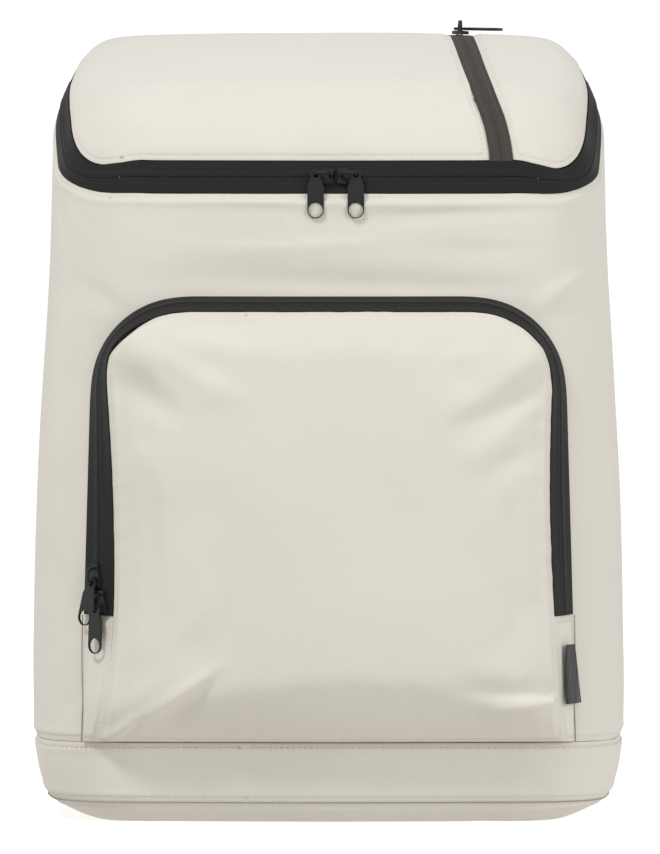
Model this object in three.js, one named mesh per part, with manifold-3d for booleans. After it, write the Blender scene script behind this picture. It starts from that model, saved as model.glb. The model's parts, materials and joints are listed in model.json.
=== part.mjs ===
// A soft insulated backpack with a zipped, sloping lid and a zipped front pocket.
// Millimetres, +Z up, the front facing -Y. It stands on its base, centred on the origin.
import * as THREE from "three";
import { mergeVertices } from "three/addons/utils/BufferGeometryUtils.js";
import Module from "manifold-3d";

const wasm = await Module();
wasm.setup();

// Overall sizes
const bagHeight = 438;
const bagWidth = 331;
const bodyDepth = 172;
const frontCorner = 48;
const backCorner = 25;
const frontCrown = 4;
const sideCrown = 3;

// Walls and clearances
const wallThickness = 5;
const backThickness = 8;
const pocketThickness = 2.4;
const seamGap = 0.3;
const seatGap = 0.3;
const pocketSeat = 0.9;

// Seams and the sloping mouth
const traySeam = 11.2;
const baseSeam = 44.8;
const mouthDropFront = 88;
const mouthDropBack = 36;
const rimFront = bagHeight - mouthDropFront;
const rimBack = bagHeight - mouthDropBack;
const rimBow = 0.15;

// Lid
const lidDome = 20.4;
const lidEdge = 34;
const lidCrown = 4;

// Zips
const zipWidth = 20;
const zipLean = 22;
const tapeThickness = 1.2;
const tapeSink = 0.4;
const lidZipWidth = 13;

// Front pocket
const pocketSideClear = 27.5;
const pocketDrop = 57;
const pocketHalfWidth = bagWidth / 2 - pocketSideClear;
const pocketTop = rimFront - pocketDrop;
const pocketCorner = 52;
const pocketFootEdge = 26;
const pocketFootReach = 0.16;
const pocketTaper = 0.028;
const gussetWidth = 19;
const pocketEdge = 26;
const pocketRound = 7;
const pocketBelly = 10;
const pocketZipFoot = 116;

// Sliders and pullers
const sliderLength = 13;
const sliderWidth = 9.6;
const sliderPlate = 1.7;
const bridgeHeight = 4.6;
const bridgeBar = 1.3;
const bridgeWidth = 1.6;
const bridgeReach = 4.7;
const sliderMeet = 4;
const slidersApart = 1.2;
const pullerLength = 28;
const pullerWidth = 9.2;
const pullerThickness = 1.4;
const pullerEye = 4.1;
const pullerEyeRim = 0.9;
const pullerHead = 3.1;
const pullerHeadHole = 1.8;
const mainLift = 1.4;
const lidLift = 0.4;

// Sliders of the pocket's zip: steps of sliderLength over the zip's foot, place across the gusset,
// lift of the puller over the plate and its swing outwards in degrees.
const pocketSliders = [
  { name: "upper", stepsUp: 1.68, place: 0.41, lift: 0.9, swing: 16 },
  { name: "lower", stepsUp: 0.56, place: 0.62, lift: 2.1, swing: 2 },
];

// Carrying straps
const strapWidth = 62;
const strapThickness = 12;
const webWidth = 25;
const webThickness = 1.8;
const buckleBar = 4.5;
const buckleSlot = 8.5;
const buckleThickness = 4;
const buckleGap = 0.6;
const tailShare = 0.83;
const yokeWidth = 150;
const yokeHeight = 30;
const yokeThickness = 4;
const yokeDrop = 14.4;
const haulSpan = 92;
const haulRise = 24;
const haulWidth = 18;
const haulThickness = 3;
const anchorWidth = 34;
const anchorHeight = 26;
const anchorThickness = 3;
const anchorLift = 1.6;

// Side tag
const tagHeight = 33;
const tagTop = 5;
const tagFoot = 11;
const tagThickness = 1.8;
const tagTurn = 28;
const tagPlace = 67;

const degrees = Math.PI / 180;

// The body's sections as shares: height of bagHeight, width of bagWidth, front and back of half the
// bodyDepth, radius of the corner radii.
const sections = [
  { height: 0.0, width: 0.806, front: 0.86, back: 0.9, radius: 0.78 },
  { height: 0.0055, width: 0.842, front: 0.905, back: 0.93, radius: 0.84 },
  { height: 0.0153, width: 0.906, front: 0.96, back: 0.965, radius: 0.92 },
  { height: 0.0256, width: 0.954, front: 0.982, back: 0.982, radius: 0.97 },
  { height: 0.056, width: 0.981, front: 0.997, back: 0.993, radius: 1 },
  { height: 0.097, width: 0.995, front: 1.01, back: 0.998, radius: 1 },
  { height: 0.18, width: 1.0, front: 1.02, back: 1, radius: 1 },
  { height: 0.28, width: 0.994, front: 1.01, back: 1, radius: 1 },
  { height: 0.405, width: 0.986, front: 0.995, back: 1, radius: 1 },
  { height: 0.548, width: 0.968, front: 0.965, back: 1, radius: 1 },
  { height: 0.67, width: 0.942, front: 0.925, back: 1, radius: 1 },
  { height: 0.805, width: 0.935, front: 0.885, back: 0.99, radius: 1 },
  { height: 0.877, width: 0.928, front: 0.87, back: 0.975, radius: 0.98 },
  { height: 0.96, width: 0.905, front: 0.85, back: 0.95, radius: 0.95 },
];

// Runs of the plan outline, clockwise from the middle of the back, with the facets along each.
const runs = [
  { name: "back, right half", facets: 7 },
  { name: "back right corner", facets: 4 },
  { name: "right side", facets: 5 },
  { name: "front right corner", facets: 4 },
  { name: "front", facets: 14 },
  { name: "front left corner", facets: 4 },
  { name: "left side", facets: 5 },
  { name: "back left corner", facets: 4 },
  { name: "back, left half", facets: 7 },
];
const backSeamRight = 0.93;
const backSeamLeft = runs.length - backSeamRight;
const frontRun = 4;

// Visible width of the pocket's gusset as a share of gussetWidth, by height share of the pocket.
const gussetInset = [
  { up: 0.0, left: 0.5, right: 0.4 },
  { up: 0.12, left: 0.72, right: 0.48 },
  { up: 0.3, left: 0.85, right: 0.53 },
  { up: 0.5, left: 0.78, right: 0.57 },
  { up: 0.68, left: 0.62, right: 0.5 },
  { up: 0.82, left: 0.42, right: 0.38 },
  { up: 0.9, left: 0.22, right: 0.3 },
  { up: 0.96, left: 0.36, right: 0.36 },
  { up: 1.0, left: 0.39, right: 0.39 },
];

// Folds of the pocket: place and length as shares of the pocket's half width (across) and of its
// top (up), turn in degrees, breadth and rise in shares of the gusset's width.
const pocketFolds = [
  { across: -0.64, up: 0.857, turn: -16, length: 0.5, breadth: 0.6, rise: 0.2 },
  { across: -0.52, up: 0.93, turn: -8, length: 0.42, breadth: 0.5, rise: -0.14 },
  { across: -0.74, up: 0.785, turn: -37, length: 0.34, breadth: 0.8, rise: -0.25 },
  { across: 0.65, up: 0.838, turn: 26, length: 0.46, breadth: 0.55, rise: 0.22 },
  { across: 0.74, up: 0.79, turn: 30, length: 0.3, breadth: 0.5, rise: -0.2 },
  { across: 0.72, up: 0.705, turn: 40, length: 0.3, breadth: 0.5, rise: -0.18 },
  { across: -0.66, up: 0.262, turn: 36, length: 0.52, breadth: 0.5, rise: 0.24 },
  { across: -0.52, up: 0.235, turn: 36, length: 0.4, breadth: 0.5, rise: -0.2 },
  { across: 0.78, up: 0.258, turn: -3, length: 0.34, breadth: 0.5, rise: -0.3 },
  { across: 0.84, up: 0.215, turn: 28, length: 0.26, breadth: 0.5, rise: 0.26 },
];

// Value of a column at a place in a table that is sorted by its first column.
function lookUp(table, key, column, at) {
  let i = 1;
  while (i < table.length - 1 && table[i][key] < at) i += 1;
  const a = table[i - 1];
  const b = table[i];
  const before = table[Math.max(i - 2, 0)];
  const after = table[Math.min(i + 1, table.length - 1)];
  const span = b[key] - a[key];
  const t = THREE.MathUtils.clamp((at - a[key]) / span, 0, 1);
  const slopeA = ((b[column] - before[column]) / (b[key] - before[key])) * span;
  const slopeB = ((after[column] - a[column]) / (after[key] - a[key])) * span;
  const t2 = t * t;
  const t3 = t2 * t;
  return (
    (2 * t3 - 3 * t2 + 1) * a[column] +
    (t3 - 2 * t2 + t) * slopeA +
    (3 * t2 - 2 * t3) * b[column] +
    (t3 - t2) * slopeB
  );
}

function sectionAt(z) {
  const share = z / bagHeight;
  const radius = lookUp(sections, "height", "radius", share);
  return {
    half: (bagWidth / 2 - sideCrown) * lookUp(sections, "height", "width", share),
    front: (bodyDepth / 2) * lookUp(sections, "height", "front", share),
    back: (bodyDepth / 2) * lookUp(sections, "height", "back", share),
    frontRadius: frontCorner * radius,
    backRadius: backCorner * radius,
  };
}

// A point of the plan outline and its outward direction. The whole part of u is the run.
function planPoint(u, s) {
  const run = Math.min(Math.floor(u), runs.length - 1);
  const t = u - run;
  const swell = Math.sin(Math.PI * t) ** 2;
  const arc = (cx, cy, r, from) => {
    const angle = (from - 90 * t) * degrees;
    const way = new THREE.Vector2(Math.cos(angle), Math.sin(angle));
    return { at: new THREE.Vector2(cx, cy).addScaledVector(way, r), way };
  };
  const line = (x, y, wx, wy) => ({
    at: new THREE.Vector2(x, y),
    way: new THREE.Vector2(wx, wy),
  });
  const rf = s.frontRadius;
  const rb = s.backRadius;
  const sideLength = s.front + s.back - rf - rb;
  switch (run) {
    case 0:
      return line(t * (s.half - rb), s.back, 0, 1);
    case 1:
      return arc(s.half - rb, s.back - rb, rb, 90);
    case 2:
      return line(s.half + sideCrown * swell, s.back - rb - sideLength * t, 1, 0);
    case 3:
      return arc(s.half - rf, rf - s.front, rf, 0);
    case 4:
      return line((s.half - rf) * (1 - 2 * t), -s.front - frontCrown * swell, 0, -1);
    case 5:
      return arc(rf - s.half, rf - s.front, rf, -90);
    case 6:
      return line(-s.half - sideCrown * swell, rf - s.front + sideLength * t, -1, 0);
    case 7:
      return arc(rb - s.half, s.back - rb, rb, 180);
    default:
      return line((t - 1) * (s.half - rb), s.back, 0, 1);
  }
}

// Height of the mouth's lower zip edge at a depth y.
function rimAt(y) {
  const s = sectionAt(rimFront);
  const t = THREE.MathUtils.clamp((y + s.front) / (s.front + s.back), 0, 1);
  return rimFront + (rimBack - rimFront) * (t + rimBow * Math.sin(Math.PI * t));
}

// The wall: q from 0 at the base seam to 1 at the rim, then to 2 across the leaning zip.
function wallPoint(u, q, foot = baseSeam) {
  const rim = rimAt(planPoint(u, sectionAt(rimFront)).at.y);
  const z = foot + (rim - foot) * Math.min(q, 1);
  const { at, way } = planPoint(u, sectionAt(z));
  const s = Math.max(q - 1, 0);
  const inset = zipWidth * Math.sin(zipLean * degrees) * s ** 1.3;
  const rise = zipWidth * Math.cos(zipLean * degrees) * s;
  return new THREE.Vector3(at.x - way.x * inset, at.y - way.y * inset, z + rise);
}

// The way out of the wall's surface at a place.
function wallWay(u, q) {
  const step = 0.02;
  const last = runs.length - step;
  const a = wallPoint(Math.max(u - step, 0), q);
  const b = wallPoint(Math.min(u + step, last), q);
  const low = wallPoint(Math.min(u, last), q - step);
  const high = wallPoint(Math.min(u, last), q + step);
  return b.sub(a).cross(low.sub(high)).normalize();
}

// Distance from the outline of a section, inwards, at x and y.
function insideBy(x, y, s) {
  const r = y > 0 ? s.backRadius : s.frontRadius;
  const swell = (share) => Math.cos((Math.PI / 2) * Math.min(Math.abs(share), 1)) ** 2;
  const side = (y + (s.front - s.frontRadius + s.backRadius - s.back) / 2) / (bodyDepth / 2 - r);
  const middle = (s.back - s.front) / 2;
  const front = y > 0 ? 0 : frontCrown * swell(x / (s.half - r));
  const qx = Math.abs(x) - (s.half - r) - sideCrown * swell(side);
  const qy = Math.abs(y - middle) - ((s.front + s.back) / 2 - r) - front;
  const outside = Math.hypot(Math.max(qx, 0), Math.max(qy, 0));
  return r - outside - Math.min(Math.max(qx, qy), 0);
}

function roundOver(distance, edge) {
  const t = THREE.MathUtils.clamp(1 - distance / edge, 0, 1);
  return Math.sqrt(Math.max(1 - t ** 2.2, 0));
}

// The loop of the zip's upper edge, which the lid's panel covers.
const lidSection = (() => {
  const s = sectionAt((rimFront + rimBack) / 2 + zipWidth);
  const inset = zipWidth * Math.sin(zipLean * degrees);
  return {
    half: s.half - inset,
    front: s.front - inset,
    back: s.back - inset,
    frontRadius: s.frontRadius - inset,
    backRadius: s.backRadius - inset,
  };
})();

// The lid at a plan place; inside is the distance from its edge.
function lidPoint(x, y, inside = Math.max(insideBy(x, y, lidSection), 0)) {
  const plane = rimAt(y) + zipWidth * Math.cos(zipLean * degrees);
  const across = x / lidSection.half;
  const dome = lidDome * roundOver(inside, lidEdge);
  const crown = lidCrown * (1 - across ** 2) * Math.min(inside / lidEdge, 1);
  return new THREE.Vector3(x, y, plane + dome + crown);
}

// An open sheet of facets that is given a thickness inwards. A point may be sunk under the sheet,
// and may have its own way out.
class Sheet {
  points = [];
  sinks = [];
  ways = [];
  faces = [];
  known = new Map();

  add(point, sink = 0, way = null) {
    const key = [point.x, point.y, point.z, sink].map((v) => v.toFixed(3)).join();
    if (!this.known.has(key)) {
      this.known.set(key, this.points.length);
      this.points.push(point.clone());
      this.sinks.push(sink);
      this.ways.push(way);
    }
    return this.known.get(key);
  }

  quad(a, b, c, d) {
    for (const face of [[a, b, c], [a, c, d]]) {
      if (new Set(face).size === 3) this.faces.push(face);
    }
  }

  // Rows of points, each row the same length; sinks and ways hold an entry for each row.
  rows(rows, sinks = rows.map(() => 0), ways = rows.map(() => null)) {
    const ids = rows.map((row, j) =>
      row.map((p, i) => this.add(p, sinks[j], ways[j] && ways[j][i])),
    );
    for (let j = 1; j < ids.length; j += 1) {
      for (let i = 1; i < ids[j].length; i += 1) {
        this.quad(ids[j - 1][i - 1], ids[j][i - 1], ids[j][i], ids[j - 1][i]);
      }
    }
  }

  normals() {
    const way = this.points.map(() => new THREE.Vector3());
    for (const [a, b, c] of this.faces) {
      const ab = this.points[b].clone().sub(this.points[a]);
      const ac = this.points[c].clone().sub(this.points[a]);
      const normal = ab.cross(ac);
      for (const i of [a, b, c]) way[i].add(normal);
    }
    return way.map((v, i) => this.ways[i] ?? v.normalize());
  }

  // The closed solid between the sheet, sunk by its sinks, and the sheet moved in by thickness.
  solid(thickness, settle = (p) => p) {
    const way = this.normals();
    const count = this.points.length;
    const position = [];
    this.points.forEach((p, i) => {
      position.push(...p.clone().addScaledVector(way[i], -this.sinks[i]).toArray());
    });
    this.points.forEach((p, i) => {
      position.push(...settle(p.clone().addScaledVector(way[i], -thickness)).toArray());
    });
    const index = [];
    const edges = new Map();
    for (const [a, b, c] of this.faces) {
      index.push(a, b, c, c + count, b + count, a + count);
      for (const [p, q] of [[a, b], [b, c], [c, a]]) {
        if (!edges.delete(q + "," + p)) edges.set(p + "," + q, [p, q]);
      }
    }
    // Each diagonal rises inwards, so two neighbours keep their gap along a twisted seam.
    for (const [p, q] of edges.values()) {
      if (this.points[p].z < this.points[q].z) {
        index.push(p, p + count, q + count, p, q + count, q);
      } else {
        index.push(p, p + count, q, q, p + count, q + count);
      }
    }
    return geometryOf(position, index);
  }
}

function geometryOf(position, index) {
  const geometry = new THREE.BufferGeometry();
  geometry.setAttribute("position", new THREE.Float32BufferAttribute(position, 3));
  geometry.setIndex(index);
  geometry.computeVertexNormals();
  return geometry;
}

// Values of u along runs from one place to another, at the facets of each run.
function around(from = 0, to = runs.length) {
  const values = [from];
  runs.forEach((run, r) => {
    for (let i = 0; i < run.facets; i += 1) {
      const u = r + i / run.facets;
      if (u > from + 0.02 && u < to - 0.02) values.push(u);
    }
  });
  values.push(to);
  return values;
}

const steps = (count, from = 0, to = 1) =>
  Array.from({ length: count + 1 }, (_, i) => from + ((to - from) * i) / count);

// A patch over a closed loop of points: the loop starts at the middle of its far side and runs
// clockwise, and place gives the surface point for a flat place.
function patch(sheet, loop, across, along, place) {
  const start = across / 2;
  const at = (i) => loop[((i % loop.length) + loop.length) % loop.length];
  const far = (i) => at(i - start);
  const right = (j) => at(start + along - j);
  const near = (i) => at(start + along + across - i);
  const left = (j) => at(-start - along + j);
  const grid = [];
  for (let i = 0; i <= across; i += 1) {
    grid.push([]);
    for (let j = 0; j <= along; j += 1) {
      const s = i / across;
      const t = j / along;
      const edgePoint =
        j === along ? far(i) : j === 0 ? near(i) : i === 0 ? left(j) : i === across ? right(j) : null;
      if (edgePoint) {
        grid[i].push(sheet.add(edgePoint));
        continue;
      }
      const blend = (a, b, share) => a.clone().lerp(b, share);
      const flat = blend(near(i), far(i), t)
        .add(blend(left(j), right(j), s))
        .sub(blend(blend(near(0), near(across), s), blend(far(0), far(across), s), t));
      grid[i].push(sheet.add(place(flat)));
    }
  }
  for (let i = 0; i < across; i += 1) {
    for (let j = 0; j < along; j += 1) {
      sheet.quad(grid[i][j], grid[i + 1][j], grid[i + 1][j + 1], grid[i][j + 1]);
    }
  }
}

// Colours and finishes
const cream = { color: 0xddd7cc, roughness: 0.85, metalness: 0 };
const blackTape = { color: 0x32302e, roughness: 0.8, metalness: 0 };
const blackMetal = { color: 0x1d1c1b, roughness: 0.4, metalness: 0.6 };
const blackWeb = { color: 0x262524, roughness: 0.85, metalness: 0 };
const blackPlastic = { color: 0x1c1b1b, roughness: 0.5, metalness: 0 };

const bag = new THREE.Group();

function addMesh(name, geometry, finish, parent = bag) {
  const mesh = new THREE.Mesh(geometry, new THREE.MeshStandardMaterial(finish));
  mesh.name = name;
  parent.add(mesh);
  return mesh;
}

// Solids joined and cut by code
function manifoldOf(geometry) {
  const bare = geometry.clone();
  bare.deleteAttribute("normal");
  bare.deleteAttribute("uv");
  const merged = mergeVertices(bare, 1e-4);
  return new wasm.Manifold(
    new wasm.Mesh({
      numProp: 3,
      vertProperties: new Float32Array(merged.attributes.position.array),
      triVerts: new Uint32Array(merged.index.array),
    }),
  );
}

function geometryFrom(manifold) {
  const mesh = manifold.getMesh();
  return geometryOf(Array.from(mesh.vertProperties), Array.from(mesh.triVerts));
}

const fuse = (...geometries) =>
  geometryFrom(geometries.map(manifoldOf).reduce((all, one) => all.add(one)));

// Body
const wallRows = [0, 0.12, 0.28, 0.45, 0.62, 0.78, 0.92, 1];
const stepShare = 0.03;
const splitShare = seamGap / zipWidth / 2;
const seamShare = seamGap / 2 / (bagWidth / 2 - backCorner);
const tapeRecess = tapeSink + tapeThickness + seatGap;
const frontColumns = around(backSeamRight + seamShare, backSeamLeft - seamShare);
const backColumns = [
  ...steps(2, backSeamLeft + seamShare, runs.length),
  ...steps(2, 0, backSeamRight - seamShare).slice(1),
];
const ringColumns = around().slice(0, -1);

const between = (low, high) => (p) => p.setZ(THREE.MathUtils.clamp(p.z, low, high));

const wallRow = (columns, q) =>
  columns.map((u) => wallPoint(u % runs.length, q, baseSeam + seamGap / 2));

const wallWays = (columns, q) => columns.map((u) => wallWay(u % runs.length, q));

function addWall(name, columns, thickness) {
  const sheet = new Sheet();
  const levels = [1 + stepShare / 2, 1.25, 1.5 - splitShare];
  const rows = wallRows.map((q) => wallRow(columns, q));
  const band = levels.map((q) => wallRow(columns, q));
  sheet.rows(
    [...rows, ...band],
    [...rows.map(() => 0), ...band.map(() => tapeRecess)],
    [...rows.map(() => null), ...levels.map((q) => wallWays(columns, q))],
  );
  addMesh(name, sheet.solid(thickness, between(baseSeam + seamGap / 2, bagHeight)), cream);
}

function addBand(name, columns, levels, finish) {
  const sheet = new Sheet();
  sheet.rows(
    levels.map((q) => wallRow(columns, q)),
    levels.map(() => tapeSink),
    levels.map((q) => wallWays(columns, q)),
  );
  addMesh(name, sheet.solid(tapeSink + tapeThickness), finish);
}

function makeBase() {
  const ring = (z) => [...ringColumns, 0].map((u) => {
    const { at } = planPoint(u, sectionAt(z));
    return new THREE.Vector3(at.x, at.y, z);
  });
  const band = new Sheet();
  band.rows(steps(3, traySeam + seamGap / 2, baseSeam - seamGap / 2).map(ring));
  const keep = between(traySeam + seamGap / 2, baseSeam - seamGap / 2);
  addMesh("base_band", band.solid(wallThickness, keep), cream);

  const tray = new Sheet();
  tray.rows(steps(2, 0, traySeam - seamGap / 2).map(ring));
  const turned = ring(0).slice(0, -1).map((p) => p.clone().setX(-p.x));
  patch(tray, turned, lidAcross, lidAlong, (p) => p.setZ(0));
  const under = between(0, traySeam - seamGap / 2);
  addMesh("base_tray", tray.solid(wallThickness, under), cream);
}

const lidAcross = 2 * (runs[0].facets + runs[1].facets / 2);
const lidAlong = runs[1].facets / 2 + runs[2].facets + runs[3].facets / 2;
const lidRings = [0.09, 0.27];

function makeLid() {
  const lid = new Sheet();
  const columns = [...ringColumns, 0];
  const edge = wallRow(columns, 2);
  const levels = [1.5 + splitShare, 2 - stepShare / 2];
  const rings = lidRings.map((share) => {
    const inside = share * lidEdge;
    return edge.map((p, i) => {
      const { way } = planPoint(columns[i], lidSection);
      return lidPoint(p.x - way.x * inside, p.y - way.y * inside, inside);
    });
  });
  const band = levels.map((q) => wallRow(columns, q));
  lid.rows(
    [...band, edge, ...rings],
    [...band.map(() => tapeRecess), 0, ...rings.map(() => 0)],
    [...levels.map((q) => wallWays(columns, q)), null, ...rings.map(() => null)],
  );
  const loop = rings[rings.length - 1].slice(0, -1);
  patch(lid, loop, lidAcross, lidAlong, (p) => lidPoint(p.x, p.y));
  return lid.solid(wallThickness);
}

// Lid pocket zip: its line, x as a share of half the bagWidth at y as a share of half the bodyDepth.
const lidZipLine = [
  { y: -0.78, x: 0.578 },
  { y: -0.7, x: 0.558 },
  { y: -0.5, x: 0.524 },
  { y: -0.2, x: 0.494 },
  { y: 0.1, x: 0.474 },
  { y: 0.4, x: 0.456 },
  { y: 0.7, x: 0.44 },
];

// The point of a mesh's top that lies over or under a plan place.
function dropOnto(mesh, x, y) {
  const down = new THREE.Vector3(0, 0, -1);
  const ray = new THREE.Raycaster(new THREE.Vector3(x, y, 2 * bagHeight), down);
  return ray.intersectObject(mesh)[0].point;
}

function lidZipPoint(lid, share, side) {
  const first = lidZipLine[0].y;
  const last = lidZipLine[lidZipLine.length - 1].y;
  const y = first + (last - first) * share;
  const x = lookUp(lidZipLine, "y", "x", y) * (bagWidth / 2);
  return dropOnto(lid, x + side, (y * bodyDepth) / 2);
}

function lidZipSheet(lid, sides, shares) {
  const sheet = new Sheet();
  sheet.rows(shares.map((share) => sides.map((side) => lidZipPoint(lid, share, side))));
  return sheet;
}

function addLid() {
  const half = lidZipWidth / 2;
  const lid = new THREE.Mesh(makeLid());
  const beyond = seatGap / bodyDepth;
  const tape = lidZipSheet(lid, steps(2, half, -half), steps(18));
  const wide = steps(2, half + seatGap, -half - seatGap);
  const groove = lidZipSheet(lid, wide, steps(18, -beyond, 1 + beyond));
  groove.sinks = groove.sinks.map(() => -lidDome / 4);
  const cut = manifoldOf(lid.geometry).subtract(manifoldOf(groove.solid(tapeRecess)));
  addMesh("lid_panel", geometryFrom(cut), cream);
  tape.sinks = tape.sinks.map(() => tapeSink);
  addMesh("lid_zip_tape", tape.solid(tapeSink + tapeThickness), blackTape);

  const share = 1 - sliderLength / bodyDepth;
  const step = sliderLength / bodyDepth / 1.4;
  const along = lidZipPoint(lid, share - step, 0).sub(lidZipPoint(lid, share + step, 0));
  const across = lidZipPoint(lid, share, half).sub(lidZipPoint(lid, share, -half)).normalize();
  const out = along.normalize().clone().cross(across).normalize();
  const at = lidZipPoint(lid, share, 0);
  const under = steps(4, share - step, share + step).flatMap((place) =>
    [-half, 0, half].map((side) => lidZipPoint(lid, place, side).sub(at).dot(out)));
  const seat = Math.max(...under) + seatGap;
  addSlider("lid", at, along, out, -1, () => across.clone(), lidLift, seat);
}

// Front of the body at x and z
function frontAt(x, z) {
  const s = sectionAt(z);
  const straight = s.half - s.frontRadius;
  const beyond = Math.min(Math.max(Math.abs(x) - straight, 0), s.frontRadius);
  if (beyond > 0) {
    return -s.front + s.frontRadius - Math.sqrt(s.frontRadius ** 2 - beyond ** 2);
  }
  return -s.front - frontCrown * Math.cos((Math.PI / 2) * (x / straight)) ** 2;
}

// Front pocket: facets of its outline, clockwise from the middle of the top.
const pocketTopFacets = 7;
const pocketArcFacets = 6;
const pocketZipFacets = 8;
const pocketStripFacets = 4;
const pocketSideFacets = pocketZipFacets + pocketStripFacets;
const pocketAcross = 2 * pocketTopFacets + pocketArcFacets;
const pocketAlong = pocketArcFacets / 2 + pocketSideFacets;
const pocketFoot = baseSeam + seamGap;

// Place on the right half of the outline: k is 0 at the middle of the top, 1 where the corner
// starts, 2 where it ends, 3 at the end of the zip and 4 at the foot.
function pocketOutline(k, side) {
  const bend = pocketTop - pocketCorner;
  const widthAt = (z) => pocketHalfWidth - pocketTaper * (z - pocketFoot);
  const turn = new THREE.Vector2(widthAt(bend) - pocketCorner, bend);
  if (k <= 1) return { x: side * turn.x * k, z: pocketTop, nx: 0, nz: 1 };
  if (k <= 2) {
    const angle = (k - 1) * 90 * degrees;
    const way = new THREE.Vector2(Math.sin(angle), Math.cos(angle));
    turn.addScaledVector(way, pocketCorner);
    return { x: side * turn.x, z: turn.y, nx: side * way.x, nz: way.y };
  }
  const [from, to] = k <= 3 ? [bend, pocketZipFoot] : [pocketZipFoot, pocketFoot];
  const z = from + (to - from) * (k - (k <= 3 ? 2 : 3));
  return { x: side * widthAt(z), z, nx: side, nz: 0 };
}

const pocketStops = [
  ...steps(pocketTopFacets).slice(0, -1),
  ...steps(pocketArcFacets, 1, 2).slice(0, -1),
  ...steps(pocketZipFacets, 2, 3).slice(0, -1),
  ...steps(pocketStripFacets, 3, 4),
];

function gussetInsetAt(x, z) {
  const share = (z - pocketFoot) / (pocketTop - pocketFoot);
  const left = lookUp(gussetInset, "up", "left", share);
  const right = lookUp(gussetInset, "up", "right", share);
  const t = THREE.MathUtils.clamp(0.5 + x / pocketHalfWidth / 2, 0, 1);
  return (left + (right - left) * t) * gussetWidth;
}

const pocketFootRound = (z) => roundOver(z - pocketFoot, pocketFootEdge);

// How far the gusset's inner edge stands in front of the body.
function gussetReach(x, z) {
  const inset = gussetInsetAt(x, z);
  const full = Math.sqrt(Math.max(gussetWidth ** 2 - inset ** 2, 0));
  return full * (pocketFootReach + (1 - pocketFootReach) * pocketFootRound(z));
}

// A point of the gusset: s is 0 against the body and 1 at the pocket's panel.
function gussetPoint(k, side, s) {
  const { x, z, nx, nz } = pocketOutline(k, side);
  const inset = gussetInsetAt(x, z);
  const px = x - nx * inset * s;
  const pz = z - nz * inset * s;
  const y = frontAt(px, pz) - pocketSeat - gussetReach(x, z) * s;
  return new THREE.Vector3(px, y, pz);
}

// The way in which the gusset's inner edge and the panel meet.
function gussetMitre(k, side) {
  const step = 0.02;
  const along = gussetPoint(Math.min(k + step, 4), side, 1);
  along.sub(gussetPoint(Math.max(k - step, 0), side, 1)).multiplyScalar(side);
  const across = gussetPoint(k, side, 1).sub(gussetPoint(k, side, 0));
  const way = across.cross(along).normalize();
  return way.add(new THREE.Vector3(0, -1, 0)).normalize();
}

function pocketInside(x, z) {
  const bend = pocketTop - pocketCorner;
  const wide = pocketHalfWidth - pocketTaper * (Math.min(z, bend) - pocketFoot);
  const qx = Math.abs(x) - (wide - pocketCorner);
  const qz = z - bend;
  const outside = Math.hypot(Math.max(qx, 0), Math.max(qz, 0));
  return pocketCorner - outside - Math.min(Math.max(qx, qz), 0);
}

function foldRise(x, z) {
  let rise = 0;
  for (const fold of pocketFolds) {
    const angle = fold.turn * degrees;
    const dx = x - fold.across * pocketHalfWidth;
    const dz = z - pocketFoot - fold.up * (pocketTop - pocketFoot);
    const along = dx * Math.cos(angle) + dz * Math.sin(angle);
    const over = dz * Math.cos(angle) - dx * Math.sin(angle);
    const reach = (fold.length * pocketHalfWidth) / 2;
    const fade = Math.max(1 - (along / reach) ** 2, 0);
    const ridge = Math.exp(-((over / (fold.breadth * gussetWidth)) ** 2));
    rise += fold.rise * gussetWidth * fade * ridge;
  }
  return rise;
}

function pocketPoint(x, z) {
  const height = pocketTop - pocketFoot;
  const inside = Math.max(pocketInside(x, z) - gussetInsetAt(x, z), 0);
  const up = THREE.MathUtils.clamp((z - pocketFoot) / height, 0, 1);
  const bell = (1 - (x / pocketHalfWidth) ** 2) * Math.sin(Math.PI * up ** 0.7);
  const edge = roundOver(inside, pocketEdge);
  const swell = (pocketRound * edge + pocketBelly * Math.max(bell, 0)) * pocketFootRound(z);
  const fold = foldRise(x, z) * edge;
  return new THREE.Vector3(x, frontAt(x, z) - pocketSeat - gussetReach(x, z) - swell - fold, z);
}

// Inner faces stay in front of the body.
const clearOfBody = (p) => p.setY(Math.min(p.y, frontAt(p.x, p.z) - pocketSeat));

function addGusset(name, stops, from, to, thickness, finish) {
  const sheet = new Sheet();
  const row = (s) => stops.map(([k, side]) => gussetPoint(k, side, s));
  const mitre = to > 0.5 ? stops.map(([k, side]) => gussetMitre(k, side)) : null;
  sheet.rows([row(from), row(to)], [0, 0], [null, mitre]);
  addMesh(name, sheet.solid(thickness, clearOfBody), finish);
}

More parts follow.
